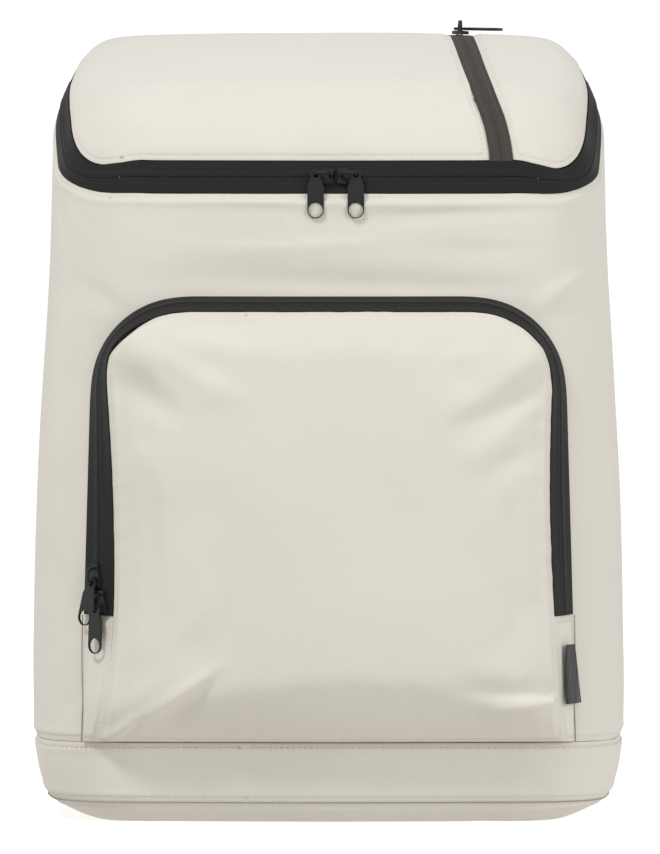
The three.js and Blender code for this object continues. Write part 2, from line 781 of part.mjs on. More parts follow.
function makePocket() {
  const gap = seamGap / gussetWidth / 2;
  const cutShort = seamGap / 2 / (pocketZipFoot - pocketFoot);
  const zipStops = pocketStops.filter((k) => k < 3);
  const stripStops = [3 + cutShort, ...pocketStops.filter((k) => k > 3)];
  const zipEnd = 3 - seamGap / 2 / (pocketTop - pocketCorner - pocketZipFoot);
  const left = [...zipStops.slice(1), zipEnd].map((k) => [k, -1]).reverse();
  const right = [...zipStops, zipEnd].map((k) => [k, 1]);
  const arch = [...left, ...right];
  addGusset("pocket_zip_tape_outer", arch, 0, 0.5 - gap, tapeThickness, blackTape);
  addGusset("pocket_zip_tape_inner", arch, 0.5 + gap, 1 - gap, tapeThickness, blackTape);
  const leftStrip = stripStops.map((k) => [k, -1]).reverse();
  addGusset("pocket_gusset_left", leftStrip, 0, 1 - gap, pocketThickness, cream);
  const rightStrip = stripStops.map((k) => [k, 1]);
  addGusset("pocket_gusset_right", rightStrip, 0, 1 - gap, pocketThickness, cream);

  const rightEdge = pocketStops.map((k) => gussetPoint(k, 1, 1 + gap));
  const leftEdge = pocketStops.map((k) => gussetPoint(k, -1, 1 + gap));
  const corner = rightEdge[rightEdge.length - 1];
  const far = leftEdge[leftEdge.length - 1];
  const foot = steps(pocketAcross).slice(1, -1).map((t) => {
    const x = corner.x + (far.x - corner.x) * t;
    return pocketPoint(x, corner.z);
  });
  const loop = [...rightEdge, ...foot, ...leftEdge.slice(1).reverse()];
  const panel = new Sheet();
  pocketStops.forEach((k, i) => {
    panel.add(rightEdge[i], 0, gussetMitre(k, 1));
    panel.add(leftEdge[i], 0, gussetMitre(k, -1));
  });
  patch(panel, loop, pocketAcross, pocketAlong, (p) => pocketPoint(p.x, p.z));
  addMesh("pocket_panel", panel.solid(pocketThickness, clearOfBody), cream);
}

// A closed band of flat cross section along stations, each with its middle, the way of its width,
// the way of its thickness, and both sizes.
function sweep(stations, ring) {
  const position = [];
  const index = [];
  const count = ring.length;
  for (const { at, across, out, width, thickness } of stations) {
    for (const [s, t] of ring) {
      const p = at.clone().addScaledVector(across, (s * width) / 2);
      position.push(...p.addScaledVector(out, (t * thickness) / 2).toArray());
    }
  }
  for (let j = 1; j < stations.length; j += 1) {
    for (let i = 0; i < count; i += 1) {
      const a = (j - 1) * count + i;
      const b = (j - 1) * count + ((i + 1) % count);
      index.push(a, b + count, b, a, a + count, b + count);
    }
  }
  const last = (stations.length - 1) * count;
  for (let i = 1; i < count - 1; i += 1) {
    index.push(0, i, i + 1);
    index.push(last, last + i + 1, last + i);
  }
  return geometryOf(position, index);
}

const flatRing = [[-1, -1], [1, -1], [1, 1], [-1, 1]];
const paddedRing = [
  [-0.86, -1], [0.86, -1], [0.98, -0.55], [1, 0],
  [0.98, 0.55], [0.86, 1], [0, 1.06], [-0.86, 1],
  [-0.98, 0.55], [-1, 0], [-0.98, -0.55],
];

// Stations along a path of points, with one way across.
function stationsAlong(path, across, width, thickness) {
  return path.map((at, i) => {
    const next = path[Math.min(i + 1, path.length - 1)];
    const before = path[Math.max(i - 1, 0)];
    const along = next.clone().sub(before).normalize();
    const out = across.clone().cross(along).normalize();
    return { at, across: along.clone().cross(out).normalize(), out, width, thickness };
  });
}

// The same geometry mirrored from the right side to the left.
function mirrored(geometry) {
  const turned = geometry.clone().scale(-1, 1, 1);
  const index = Array.from(turned.index.array);
  for (let i = 0; i < index.length; i += 3) {
    [index[i + 1], index[i + 2]] = [index[i + 2], index[i + 1]];
  }
  return geometryOf(Array.from(turned.attributes.position.array), index);
}

function addPair(name, geometry, finish) {
  addMesh(name + "_right", geometry, finish);
  addMesh(name + "_left", mirrored(geometry), finish);
}

const backAt = (z) => sectionAt(z).back;

// Shoulder strap: height of strapTop, place of half the bagWidth, stand off the yoke's face of
// bodyDepth, and its width of strapWidth and thickness of strapThickness.
const strapLine = [
  { up: 1, out: 0.235, off: 0, width: 0.9, thickness: 0.72 },
  { up: 0.96, out: 0.24, off: 0.008, width: 0.96, thickness: 0.95 },
  { up: 0.904, out: 0.25, off: 0.05, width: 1.0, thickness: 1.0 },
  { up: 0.825, out: 0.275, off: 0.1, width: 1.02, thickness: 1.0 },
  { up: 0.734, out: 0.31, off: 0.135, width: 1.04, thickness: 1.0 },
  { up: 0.644, out: 0.355, off: 0.15, width: 1.02, thickness: 1.0 },
  { up: 0.554, out: 0.41, off: 0.14, width: 0.96, thickness: 1.0 },
  { up: 0.475, out: 0.465, off: 0.11, width: 0.86, thickness: 0.95 },
  { up: 0.407, out: 0.515, off: 0.077, width: 0.72, thickness: 0.85 },
];
const anchorPlace = { up: 0.135, out: 0.74 };
const strapTop = rimBack - yokeDrop;

const yokeFace = 2 * seatGap + yokeThickness;

const strapPoint = ({ up, out, off, thickness }) => {
  const z = up * strapTop;
  const lying = yokeFace + seatGap + (thickness * strapThickness) / 2;
  return new THREE.Vector3((out * bagWidth) / 2, backAt(z) + lying + off * bodyDepth, z);
};

function makeCarrying() {
  const right = new THREE.Vector3(1, 0, 0);
  const path = strapLine.map(strapPoint);
  const stations = stationsAlong(path, right, strapWidth, strapThickness);
  stations.forEach((station, i) => {
    station.width *= strapLine[i].width;
    station.thickness *= strapLine[i].thickness;
  });

  // The run from the strap's end to the anchor at the foot of the back
  const end = path[path.length - 1];
  const anchorZ = anchorPlace.up * bagHeight;
  const webStand = anchorThickness + webThickness / 2 + anchorLift;
  const foot = new THREE.Vector3(
    (anchorPlace.out * bagWidth) / 2,
    backAt(anchorZ) + webStand,
    anchorZ,
  );
  const along = foot.clone().sub(end).normalize();
  const out = right.clone().cross(along).normalize();
  const across = along.clone().cross(out).normalize();
  const frame = new THREE.Matrix4().makeBasis(across, along, out);

  // The strap's end face is square to that run.
  const last = stations[stations.length - 1];
  last.across = across;
  last.out = out;
  addPair("shoulder_strap", sweep(stations, paddedRing), cream);

  const barRadius = Math.hypot(buckleBar, buckleThickness) / 2;
  const loopRadius = barRadius + seatGap + webThickness / 2;
  const topBar = end.clone().addScaledVector(along, loopRadius + buckleBar + buckleGap);
  const toPlace = (x, t, n) =>
    new THREE.Vector3(x, t, n).applyMatrix4(frame.clone().setPosition(topBar));
  const turn = (middle, from, to) =>
    steps(8, from, to).map((angle) => {
      const a = angle * degrees;
      return toPlace(0, middle + loopRadius * Math.cos(a), loopRadius * Math.sin(a));
    });
  const bandAlong = (points) =>
    sweep(stationsAlong(points, across, webWidth, webThickness), flatRing);

  // A tab round the buckle's top bar
  const toStrap = end.distanceTo(topBar) - seatGap;
  const tab = [toPlace(0, -toStrap, -loopRadius), ...turn(0, -90, 90)];
  addPair("strap_tab", bandAlong([...tab, toPlace(0, -toStrap, loopRadius)]), blackWeb);

  // Ladder lock: three bars between two sides
  const pitch = buckleBar + buckleSlot;
  const length = 2 * pitch + buckleBar;
  const width = webWidth + 2 * (buckleBar + buckleGap);
  const block = (w, h, at, depth) => {
    const box = new THREE.BoxGeometry(w, h, depth).translate(0, at, 0);
    return manifoldOf(box.applyMatrix4(frame.clone().setPosition(topBar)));
  };
  const plate = block(width, length, pitch, buckleThickness);
  const slot = (at) => block(width - 2 * buckleBar, buckleSlot, at, 2 * buckleThickness);
  const lock = plate.subtract(slot(pitch / 2)).subtract(slot(1.5 * pitch));
  addPair("ladder_lock", geometryFrom(lock), blackPlastic);

  // The lower webbing comes up behind the buckle, turns round its middle bar and hangs in front.
  const run = topBar.distanceTo(foot);
  const tail = pitch + tailShare * (run - anchorHeight / 2 - pitch);
  const web = [
    toPlace(0, run, 0),
    toPlace(0, run - anchorHeight / 2, 0),
    toPlace(0, tail, -loopRadius),
    toPlace(0, pitch + buckleBar, -loopRadius),
    ...turn(pitch, 270, 90),
    toPlace(0, pitch + length / 2, loopRadius),
    toPlace(0, tail, loopRadius),
  ];
  addPair("lower_webbing", bandAlong(web), blackWeb);

  const anchor = new THREE.BoxGeometry(anchorWidth, anchorThickness, anchorHeight);
  const anchorY = backAt(anchorZ) + seatGap + anchorThickness / 2;
  addPair("webbing_anchor", anchor.translate(foot.x, anchorY, anchorZ), blackWeb);
}

// Haul loop: across of half the haulSpan, up of haulRise.
const haulLine = [
  { across: -1, up: 0 },
  { across: -0.97, up: 0.28 },
  { across: -0.86, up: 0.6 },
  { across: -0.62, up: 0.86 },
  { across: -0.3, up: 0.98 },
  { across: 0, up: 1 },
  { across: 0.3, up: 0.98 },
  { across: 0.62, up: 0.86 },
  { across: 0.86, up: 0.6 },
  { across: 0.97, up: 0.28 },
  { across: 1, up: 0 },
];

function makeYokeAndLoop() {
  const z = strapTop;
  const top = z + yokeHeight / 2;
  const lean = Math.atan2(backAt(z - yokeHeight / 2) - backAt(top), yokeHeight);
  const yoke = new THREE.BoxGeometry(yokeWidth, yokeThickness, yokeHeight);
  yoke.rotateX(lean).translate(0, backAt(z) + yokeFace - yokeThickness / 2, z);
  addMesh("strap_yoke", yoke, cream);

  const y = backAt(z) + seatGap + haulWidth / 2;
  const foot = top + 2 * seatGap;
  const path = haulLine.map(({ across, up }) =>
    new THREE.Vector3((across * haulSpan) / 2, y, foot + up * haulRise));
  const wide = new THREE.Vector3(0, 1, 0);
  const stations = stationsAlong(path, wide, haulWidth, haulThickness);
  addMesh("haul_loop", sweep(stations, flatRing), blackWeb);
}

// Side tag: a folded strip that stands out of the seam of the right gusset.
function makeTag() {
  const outline = new THREE.Shape([
    new THREE.Vector2(0, 0),
    new THREE.Vector2(tagFoot, 0),
    new THREE.Vector2(tagTop, tagHeight),
    new THREE.Vector2(0, tagHeight),
  ]);
  const tag = new THREE.ExtrudeGeometry(outline, { depth: tagThickness, bevelEnabled: false });
  const { x } = pocketOutline(3.5, 1);
  const mesh = addMesh("side_tag", tag, blackWeb);
  const forward = new THREE.Vector3(Math.sin(tagTurn * degrees), -Math.cos(tagTurn * degrees), 0);
  const up = new THREE.Vector3(0, 0, 1);
  const basis = new THREE.Matrix4().makeBasis(forward, up, forward.clone().cross(up));
  mesh.quaternion.setFromRotationMatrix(basis);
  mesh.position.set(x + tagThickness + seatGap, frontAt(x + tagThickness, tagPlace) - pocketSeat, tagPlace);
}

// Slider: local x runs along the zip and z out of the tape. A plate with a bridge over it.
function makeSlider() {
  const half = sliderWidth / 2;
  const reach = sliderLength / 2;
  const outline = new THREE.Shape([
    new THREE.Vector2(-reach, -half * 0.55),
    new THREE.Vector2(-reach * 0.35, -half * 0.62),
    new THREE.Vector2(reach * 0.25, -half),
    new THREE.Vector2(reach, -half * 0.9),
    new THREE.Vector2(reach * 0.8, 0),
    new THREE.Vector2(reach, half * 0.9),
    new THREE.Vector2(reach * 0.25, half),
    new THREE.Vector2(-reach * 0.35, half * 0.62),
    new THREE.Vector2(-reach, half * 0.55),
  ]);
  const plate = new THREE.ExtrudeGeometry(outline, { depth: sliderPlate, bevelEnabled: false });

  const foot = sliderPlate / 2;
  const arch = (reachOut, top) => [
    new THREE.Vector2(-reachOut, foot),
    new THREE.Vector2(-reachOut, foot + (top - foot) * 0.6),
    new THREE.Vector2(-reachOut * 0.6, top),
    new THREE.Vector2(reachOut * 0.6, top),
    new THREE.Vector2(reachOut, foot + (top - foot) * 0.6),
    new THREE.Vector2(reachOut, foot),
  ];
  const under = sliderPlate + bridgeHeight;
  const outer = arch(bridgeReach, under + bridgeBar);
  const inner = arch(bridgeReach - bridgeBar, under).reverse();
  const bridge = new THREE.ExtrudeGeometry(new THREE.Shape([...outer, ...inner]), {
    depth: bridgeWidth,
    bevelEnabled: false,
  });
  bridge.rotateX(90 * degrees).translate(0, bridgeWidth / 2, 0);
  return fuse(plate, bridge);
}

// Puller: a flat tab in the local xy plane, with its head's hole at the origin and a large eye at
// the far end of it, down local y.
function makePuller() {
  const eyeAt = -(pullerLength - pullerHead - pullerEye - pullerEyeRim);
  const half = pullerWidth / 2;
  const outline = new THREE.Shape();
  outline.absarc(0, 0, pullerHead, -30 * degrees, 210 * degrees);
  outline.lineTo(-half, -2.2 * pullerHead);
  outline.absarc(0, eyeAt, half, 180 * degrees, 360 * degrees);
  outline.lineTo(half, -2.2 * pullerHead);
  outline.holes.push(new THREE.Path().absarc(0, 0, pullerHeadHole, 0, 2 * Math.PI, true));
  outline.holes.push(new THREE.Path().absarc(0, eyeAt, pullerEye, 0, 2 * Math.PI, true));
  const tab = new THREE.ExtrudeGeometry(outline, {
    depth: pullerThickness,
    bevelEnabled: false,
    curveSegments: 6,
  });
  return tab.translate(0, 0, -pullerThickness / 2);
}

// A slider on a zip at a point, along the zip's way, and its puller: leg is the leg of the bridge
// that it hangs on, reach the way from its head to its eye and lift its height over the plate.
function addSlider(name, at, along, out, leg, reach, lift, seat = seatGap) {
  const slider = addMesh(name + "_slider", makeSlider(), blackMetal);
  const x = along.clone().addScaledVector(out, -along.dot(out)).normalize();
  const turn = new THREE.Matrix4().makeBasis(x, out.clone().cross(x), out);
  slider.quaternion.setFromRotationMatrix(turn);
  slider.position.copy(at).addScaledVector(out, seat);

  const height = sliderPlate + lift + pullerThickness / 2;
  const legAt = (bridgeReach - bridgeBar / 2) * leg;
  const head = slider.position.clone().addScaledVector(x, legAt).addScaledVector(out, height);
  const way = reach(head).normalize();
  const face = out.clone().addScaledVector(way, -out.dot(way)).normalize();
  const y = way.clone().negate();
  const puller = addMesh(name + "_puller", makePuller(), blackMetal);
  const hang = new THREE.Matrix4().makeBasis(y.clone().cross(face), y, face);
  puller.quaternion.setFromRotationMatrix(hang);
  puller.position.copy(head);
}

function addSliders() {
  const right = new THREE.Vector3(1, 0, 0);
  const straight = sectionAt(rimFront).half - sectionAt(rimFront).frontRadius;
  for (const [name, side] of [["main_left", -1], ["main_right", 1]]) {
    const x = sliderMeet + (side * (sliderLength + slidersApart)) / 2;
    const u = frontRun + (1 - x / straight) / 2;
    const hang = (head) => {
      const z = head.z - pullerLength + pullerHead + pullerEye;
      const y = frontAt(head.x, z) - seatGap - pullerThickness / 2;
      return new THREE.Vector3(head.x, y, z).sub(head);
    };
    const along = right.clone().multiplyScalar(-side);
    const out = wallWay(u, 1.5);
    addSlider(name, wallPoint(u, 1.5), along, out, -1, hang, mainLift, seatGap - tapeSink);
  }
  const down = new THREE.Vector3(0, 0, -1);
  for (const { name, stepsUp, place, lift, swing } of pocketSliders) {
    const z = pocketZipFoot + stepsUp * sliderLength;
    const bend = pocketTop - pocketCorner;
    const k = 2 + (bend - z) / (bend - pocketZipFoot);
    const at = gussetPoint(k, -1, place);
    const across = gussetPoint(k, -1, 1).sub(gussetPoint(k, -1, 0)).normalize();
    const out = down.clone().cross(across).normalize();
    const reach = () => down.clone().addScaledVector(across, -Math.tan(swing * degrees));
    addSlider("pocket_" + name, at, down, out, 1, reach, lift, 2 * seatGap);
  }
}

addWall("front_and_sides", frontColumns, wallThickness);
addWall("back_panel", backColumns, backThickness);
makeBase();
addLid();
const lowerLevels = [1 + stepShare, 1.25, 1.5 - splitShare];
const upperLevels = [1.5 + splitShare, 2 - stepShare];
addBand("main_zip_tape_lower", frontColumns, lowerLevels, blackTape);
addBand("main_zip_tape_upper", frontColumns, upperLevels, blackTape);
addBand("lid_hinge", backColumns, [1 + stepShare, 1.25, 1.5, 2 - stepShare], cream);
makePocket();
addSliders();
makeTag();
makeYokeAndLoop();
makeCarrying();

// The whole stands centred on the origin.
const part = new THREE.Group();
part.add(bag);
const box = new THREE.Box3().setFromObject(bag);
bag.position.y = -(box.min.y + box.max.y) / 2;

export default part;
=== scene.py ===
import json
import math
from contextlib import contextmanager

import bmesh
import bpy
import numpy as np
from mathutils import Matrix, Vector, noise
from mathutils.bvhtree import BVHTree
from mathutils.kdtree import KDTree

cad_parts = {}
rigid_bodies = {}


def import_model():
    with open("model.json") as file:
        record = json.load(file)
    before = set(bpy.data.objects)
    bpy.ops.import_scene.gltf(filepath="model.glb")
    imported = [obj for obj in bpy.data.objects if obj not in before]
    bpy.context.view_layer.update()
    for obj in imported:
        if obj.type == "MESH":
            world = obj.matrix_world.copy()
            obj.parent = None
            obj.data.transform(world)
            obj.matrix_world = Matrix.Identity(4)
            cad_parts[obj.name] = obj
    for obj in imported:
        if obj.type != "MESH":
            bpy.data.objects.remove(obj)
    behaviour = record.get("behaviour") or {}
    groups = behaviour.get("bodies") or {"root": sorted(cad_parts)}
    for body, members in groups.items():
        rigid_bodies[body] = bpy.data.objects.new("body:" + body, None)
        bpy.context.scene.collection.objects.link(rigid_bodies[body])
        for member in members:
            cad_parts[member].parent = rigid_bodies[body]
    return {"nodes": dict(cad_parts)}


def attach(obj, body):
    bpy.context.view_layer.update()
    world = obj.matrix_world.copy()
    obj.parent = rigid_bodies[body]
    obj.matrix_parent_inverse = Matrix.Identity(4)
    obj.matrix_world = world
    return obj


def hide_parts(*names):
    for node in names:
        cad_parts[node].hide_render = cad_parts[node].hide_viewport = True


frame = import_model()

for leftover in [o for o in bpy.data.objects if o.name in ("Cube", "Light", "Camera")]:
    bpy.data.objects.remove(leftover)
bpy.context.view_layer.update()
NODES = frame["nodes"]
BODY = "root"
MM = 0.001
TINY = 1e-9
CLOTH_FRAMES = 20
# How far the mouth's front corners hang, in millimetres: its share at each height, and the
# places across and in depth between which it grows from none to all.
CORNER_HANG = {"left": 10.0, "right": 13.0}
HANG_HEIGHTS, HANG_SHARES = (325, 357, 373, 398, 428), (0.0, 0.45, 1.0, 0.6, 0.0)
HANG_ACROSS, HANG_DEPTH = (102, 140), (30, -20)
# Each lamp's place, the point it looks at, its diameter in metres and its power in watts.
LAMPS = {
    "key": ((-1.7, -1.7, 3.28), (0.0, 0.0, 0.22), 1.0, 70),
    "fill": ((2.4, -1.6, 0.8), (0.0, 0.0, 0.2), 1.5, 26),
}
SKY_BELOW, SKY_ABOVE = (0.73, 0.715, 0.68, 1.0), (0.555, 0.57, 0.6, 1.0)

bl_info = {
    "name": "Cooler backpack",
    "version": (1, 0, 0),
    "blender": (4, 5, 0),
    "location": "View3D > Sidebar > Cooler backpack",
    "description": "Models the fabric, zips and straps of a cooler backpack round its frame",
    "category": "Object",
}

FOLD_COLUMNS = ("x", "z", "turn", "length", "low", "high", "rise")


def folds(*rows):
    """Folds of the cloth, in millimetres: x and z of the middle, turn from the horizontal in
    degrees, length, breadth of the lower and the upper flank, and rise."""
    return [dict(zip(FOLD_COLUMNS, row)) for row in rows]


POCKET_FOLDS = folds(
    (-82, 252, -20, 92, 9, 7, 1.8),
    (-72, 277, -6, 90, 7, 8, -1.6),
    (-104, 240, -38, 60, 8, 7, -1.7),
    (92, 243, 26, 90, 6, 7, 2.1),
    (95, 233, 34, 66, 6, 5, -1.9),
    (97, 219, 33, 68, 7, 5, 1.5),
    (100, 200, 36, 56, 7, 6, -1.5),
    (73, 264, 12, 60, 6, 7, -1.5),
    (108, 262, 62, 36, 5, 5, 1.2),
    (-84, 168, 25, 90, 18, 15, -1.5),
    (-94, 66, 38, 90, 3.5, 4, 2.8),
    (-87, 62, 38, 80, 6, 4, -2.4),
    (-118, 54, 35, 30, 3, 2.5, 2.4),
    (-110, 51, 20, 26, 3, 3, -2.2),
    (108, 75, 2, 84, 3.5, 6, -3.8),
    (112, 66, 14, 60, 4, 4, 2.8),
    (10, 52, 0, 190, 5, 8, 1.0),
    (30, 120, 10, 120, 20, 16, 0.9),
)
FRONT_FOLDS = folds(
    (0, 345, 0, 280, 3.2, 2.5, 1.1),
    (60, 338, 1, 150, 5, 3, -0.8),
    (-30, 322, 2, 130, 5, 3, 0.6),
    (84, 320, -4, 80, 6, 4, -0.6),
    (0, 301, 0, 250, 5, 7, -1.5),
    (131, 296, 40, 46, 5, 4, 1.6),
    (138, 288, 40, 40, 5, 4, -1.3),
    (-128, 292, -40, 44, 6, 5, -1.1),
    (-146, 236, 76, 60, 5, 6, -1.0),
    (150, 200, 96, 90, 6, 7, -1.0),
    (-150, 150, 95, 80, 6, 7, 0.9),
)
BASE_FOLDS = folds(
    (0, 35, 0, 330, 13, 6, -3.2),
)
LID_FOLDS = folds(
    (-122, 374, 12, 40, 4, 3, 1.1),
    (-112, 380, 24, 34, 4, 4, -1.1),
    (-20, 377, 1, 200, 5, 5, 0.6),
)


def length(name, description, default):
    return bpy.props.FloatProperty(
        name=name, description=description, default=default, unit="LENGTH")


def tint(name, description, default):
    return bpy.props.FloatVectorProperty(
        name=name, description=description, default=default, subtype="COLOR", size=3,
        min=0.0, max=1.0)


class FabricSettings(bpy.types.PropertyGroup):
    """Sizes and colour of the bag's cloth."""

    colour: tint("Colour", "Colour of the cloth", (0.725, 0.69, 0.61))
    weave: length("Weave", "Distance between two threads of the weave", 0.9 * MM)
    thickness: length("Thickness", "Thickness of the outer cloth", 1.2 * MM)
    stitch: length("Stitch", "Distance from one stitch to the next", 3.3 * MM)
    thread: length("Thread", "Radius of the sewing thread", 0.3 * MM)
    # The dark line in a seam is painted shade: a cord in darkened cloth colour where the seam's
    # gap lies in shadow.
    gap: length("Gap", "Radius of the dark line in a seam", 0.35 * MM)
    margin: length("Margin", "Distance from a seam to its row of stitches", 2.6 * MM)
    tuck: length("Tuck", "How far an edge is pulled in at its seam", 0.9 * MM)
    pucker: length("Pucker", "Height of the gathers along a seam", 0.55 * MM)


class ZipSettings(bpy.types.PropertyGroup):
    """Sizes and colours of the zips."""

    tape: tint("Tape", "Colour of the main and pocket zips' tapes", (0.0085, 0.0083, 0.0077))
    # The lid tape is the same tape as the others, given a lighter colour as painted light for its
    # upward face.
    lid_tape: tint("Lid tape", "Colour of the lid zip's tape", (0.05, 0.043, 0.037))
    thickness: length("Thickness", "Thickness of a tape", 0.9 * MM)
    coil: length("Coil", "Height of the covered coil over the tape", 0.5 * MM)
    pitch: length("Pitch", "Distance from one turn of the coil to the next", 1.9 * MM)


class StageSettings(bpy.types.PropertyGroup):
    """Camera, floor and lights."""

    distance: length("Camera distance", "From the camera to the bag's front", 12.0)
    front: length("Front", "Depth at which the view field is measured", -0.095)
    across: length("View place", "Sideways place of the middle of the view", 0.84 * MM)
    height: length("View height", "Height of the middle of the view", 0.2207)
    field: length("View field", "Height of what the view shows at the bag's front", 0.4744)
    elevation: bpy.props.FloatProperty(
        name="Elevation", description="Angle of the camera over the horizon",
        default=math.radians(2.4), subtype="ANGLE")


def select_only(*objs):
    bpy.ops.object.select_all(action="DESELECT")
    for obj in objs:
        obj.select_set(True)
    bpy.context.view_layer.objects.active = objs[0]


@contextmanager
def editing(obj):
    """Edit mode, with the whole mesh selected."""
    select_only(obj)
    bpy.ops.object.mode_set(mode="EDIT")
    bpy.ops.mesh.select_all(action="SELECT")
    yield
    bpy.ops.object.mode_set(mode="OBJECT")


def select_where(obj, kind, chosen):
    """In edit mode, selects the faces or edges that the test chooses, and no others."""
    bpy.ops.mesh.select_mode(type=kind)
    bpy.ops.mesh.select_all(action="DESELECT")
    mesh = bmesh.from_edit_mesh(obj.data)
    for item in mesh.faces if kind == "FACE" else mesh.edges:
        item.select_set(bool(chosen(item)))
    bmesh.update_edit_mesh(obj.data)


def soften(obj, degrees):
    select_only(obj)
    bpy.ops.object.shade_smooth_by_angle(angle=math.radians(degrees))


def new_piece(name, mesh):
    piece = bpy.data.objects.new(name, mesh)
    bpy.context.scene.collection.objects.link(piece)
    select_only(piece)
    return piece


def copy_of(node, name):
    """A new object with a merged copy of a CAD node's mesh."""
    mesh = NODES[node].data.copy()
    mesh.name = name
    mesh.materials.clear()
    piece = new_piece(name, mesh)
    with editing(piece):
        bpy.ops.mesh.remove_doubles(threshold=0.01 * MM)
        bpy.ops.mesh.normals_make_consistent(inside=False)
    for layer in list(mesh.uv_layers):
        mesh.uv_layers.remove(layer)
    if "custom_normal" in mesh.attributes:
        mesh.attributes.remove(mesh.attributes["custom_normal"])
    return piece


def points_of(obj):
    co = np.empty(len(obj.data.vertices) * 3, np.float32)
    obj.data.vertices.foreach_get("co", co)
    return co.reshape(-1, 3).astype(float)


def set_points(obj, co):
    flat = np.ascontiguousarray(co, dtype=np.float32).ravel()
    obj.data.vertices.foreach_set("co", flat)
    obj.data.update()


def normals_of(obj):
    way = np.empty(len(obj.data.vertices) * 3, np.float32)
    obj.data.vertices.foreach_get("normal", way)
    return way.reshape(-1, 3).astype(float)


def tree_of(obj):
    return BVHTree.FromPolygons(
        [v.co for v in obj.data.vertices], [p.vertices for p in obj.data.polygons])


def apply(obj, kind, **values):
    select_only(obj)
    modifier = obj.modifiers.new(kind.title(), kind)
    for key, value in values.items():
        setattr(modifier, key, value)
    bpy.ops.object.modifier_apply(modifier=modifier.name)


def skin(node, name, facing, fold=42):
    """The outer face of a CAD shell, as quads. It starts at the face that looks most along
    `facing` and goes on over every edge that turns by less than `fold` degrees."""
    piece = copy_of(node, name)
    way = Vector(facing)
    with editing(piece):
        mesh = bmesh.from_edit_mesh(piece.data)
        front = [face for face in mesh.faces if face.normal.dot(way) > 0.6]
        large = 0.3 * max(face.calc_area() for face in front)
        start = max((face for face in front if face.calc_area() > large),
                    key=lambda face: face.calc_center_median().dot(way))
        found, queue = {start.index}, [start]
        while queue:
            face = queue.pop()
            for other in (other for edge in face.edges for other in edge.link_faces):
                turn = face.normal.angle(other.normal)
                if other.index not in found and turn < math.radians(fold):
                    found.add(other.index)
                    queue.append(other)
        select_where(piece, "FACE", lambda face: face.index not in found)
        bpy.ops.mesh.delete(type="FACE")
        bpy.ops.mesh.select_all(action="SELECT")
        bpy.ops.mesh.tris_convert_to_quads(face_threshold=1.2, shape_threshold=1.2)
    return piece


def loops_of(obj):
    """The boundary loops as lists of vertex numbers, longest first."""
    mesh = bmesh.new()
    mesh.from_mesh(obj.data)
    open_edges = {e.index: e for e in mesh.edges if e.is_boundary}
    loops = []
    while open_edges:
        edge = open_edges.pop(min(open_edges))
        first, vert = edge.verts
        loop = [first.index]
        while vert.index != loop[0]:
            loop.append(vert.index)
            near = sorted(e.index for e in vert.link_edges if e.index in open_edges)
            if not near:
                break
            vert = open_edges.pop(near[0]).other_vert(vert)
        loops.append(loop)
    mesh.free()
    co = points_of(obj)
    return sorted(loops, key=lambda loop: lengths_along(co[loop])[-1], reverse=True)


def lengths_along(co):
    return np.concatenate([[0.0], np.cumsum(np.linalg.norm(np.diff(co, axis=0), axis=1))])


def resample(co, count):
    at = lengths_along(co)
    places = np.linspace(0, at[-1], count)
    return np.stack([np.interp(places, at, co[:, i]) for i in range(3)], axis=1)


def spline(co, per, closed=False):
    """The uniform cubic spline of a row of control points, open or closed."""
    if closed:
        co = np.concatenate([co[-1:], co, co[:2]])
    else:
        co = np.concatenate([[2 * co[0] - co[1]], co, [2 * co[-1] - co[-2]]])
    t = np.linspace(0, 1, per, endpoint=False)[:, None]
    found = []
    for a, b, c, d in zip(co, co[1:], co[2:], co[3:]):
        found.append(((1 - t) ** 3 * a + (3 * t ** 3 - 6 * t ** 2 + 4) * b
                      + (3 * t - 3 * t ** 3 + 3 * t ** 2 + 1) * c + t ** 3 * d) / 6)
    if not closed:
        found.append(co[-2:-1])
    return np.concatenate(found)


def corners_of(co):
    """How sharply a closed loop of points turns at each point."""
    before = co - np.roll(co, 1, axis=0)
    after = np.roll(co, -1, axis=0) - co
    dot = (before * after).sum(1)
    size = np.linalg.norm(before, axis=1) * np.linalg.norm(after, axis=1)
    return np.arccos(np.clip(dot / size, -1, 1))


def rails_of(node, facing):
    """The two long edges of a strip's outer face, both in the same direction."""
    piece = skin(node, "rails", facing)
    co = points_of(piece)[loops_of(piece)[0]]
    bpy.data.objects.remove(piece)
    corners = sorted(np.argsort(corners_of(co))[-4:])
    sides = []
    for a, b in zip(corners, corners[1:] + [corners[0] + len(co)]):
        sides.append(co[np.arange(a, b + 1) % len(co)])
    order = sorted(range(4), key=lambda i: lengths_along(sides[i])[-1])[2:]
    first, second = (sides[i] for i in sorted(order))
    return first, second[::-1]


def keep_corners(obj):
    """Creases the corners of an open sheet, so that subdividing doesn't round them."""
    crease = obj.data.attributes.new("crease_vert", "FLOAT", "POINT")
    co = points_of(obj)
    for loop in loops_of(obj):
        turns = corners_of(co[loop])
        for index, turn in zip(loop, turns):
            if turn > math.radians(50):
                crease.data[index].value = 1.0


def split_edges(obj, chosen, cuts):
    with editing(obj):
        select_where(obj, "EDGE", chosen)
        bpy.ops.mesh.subdivide(number_cuts=cuts, smoothness=0, quadcorner="STRAIGHT_CUT")


def smooth_levels(obj, levels):
    apply(obj, "SUBSURF", levels=levels, render_levels=levels, boundary_smooth="ALL")


def edge_points(obj):
    return sorted({i for loop in loops_of(obj) for i in loop})


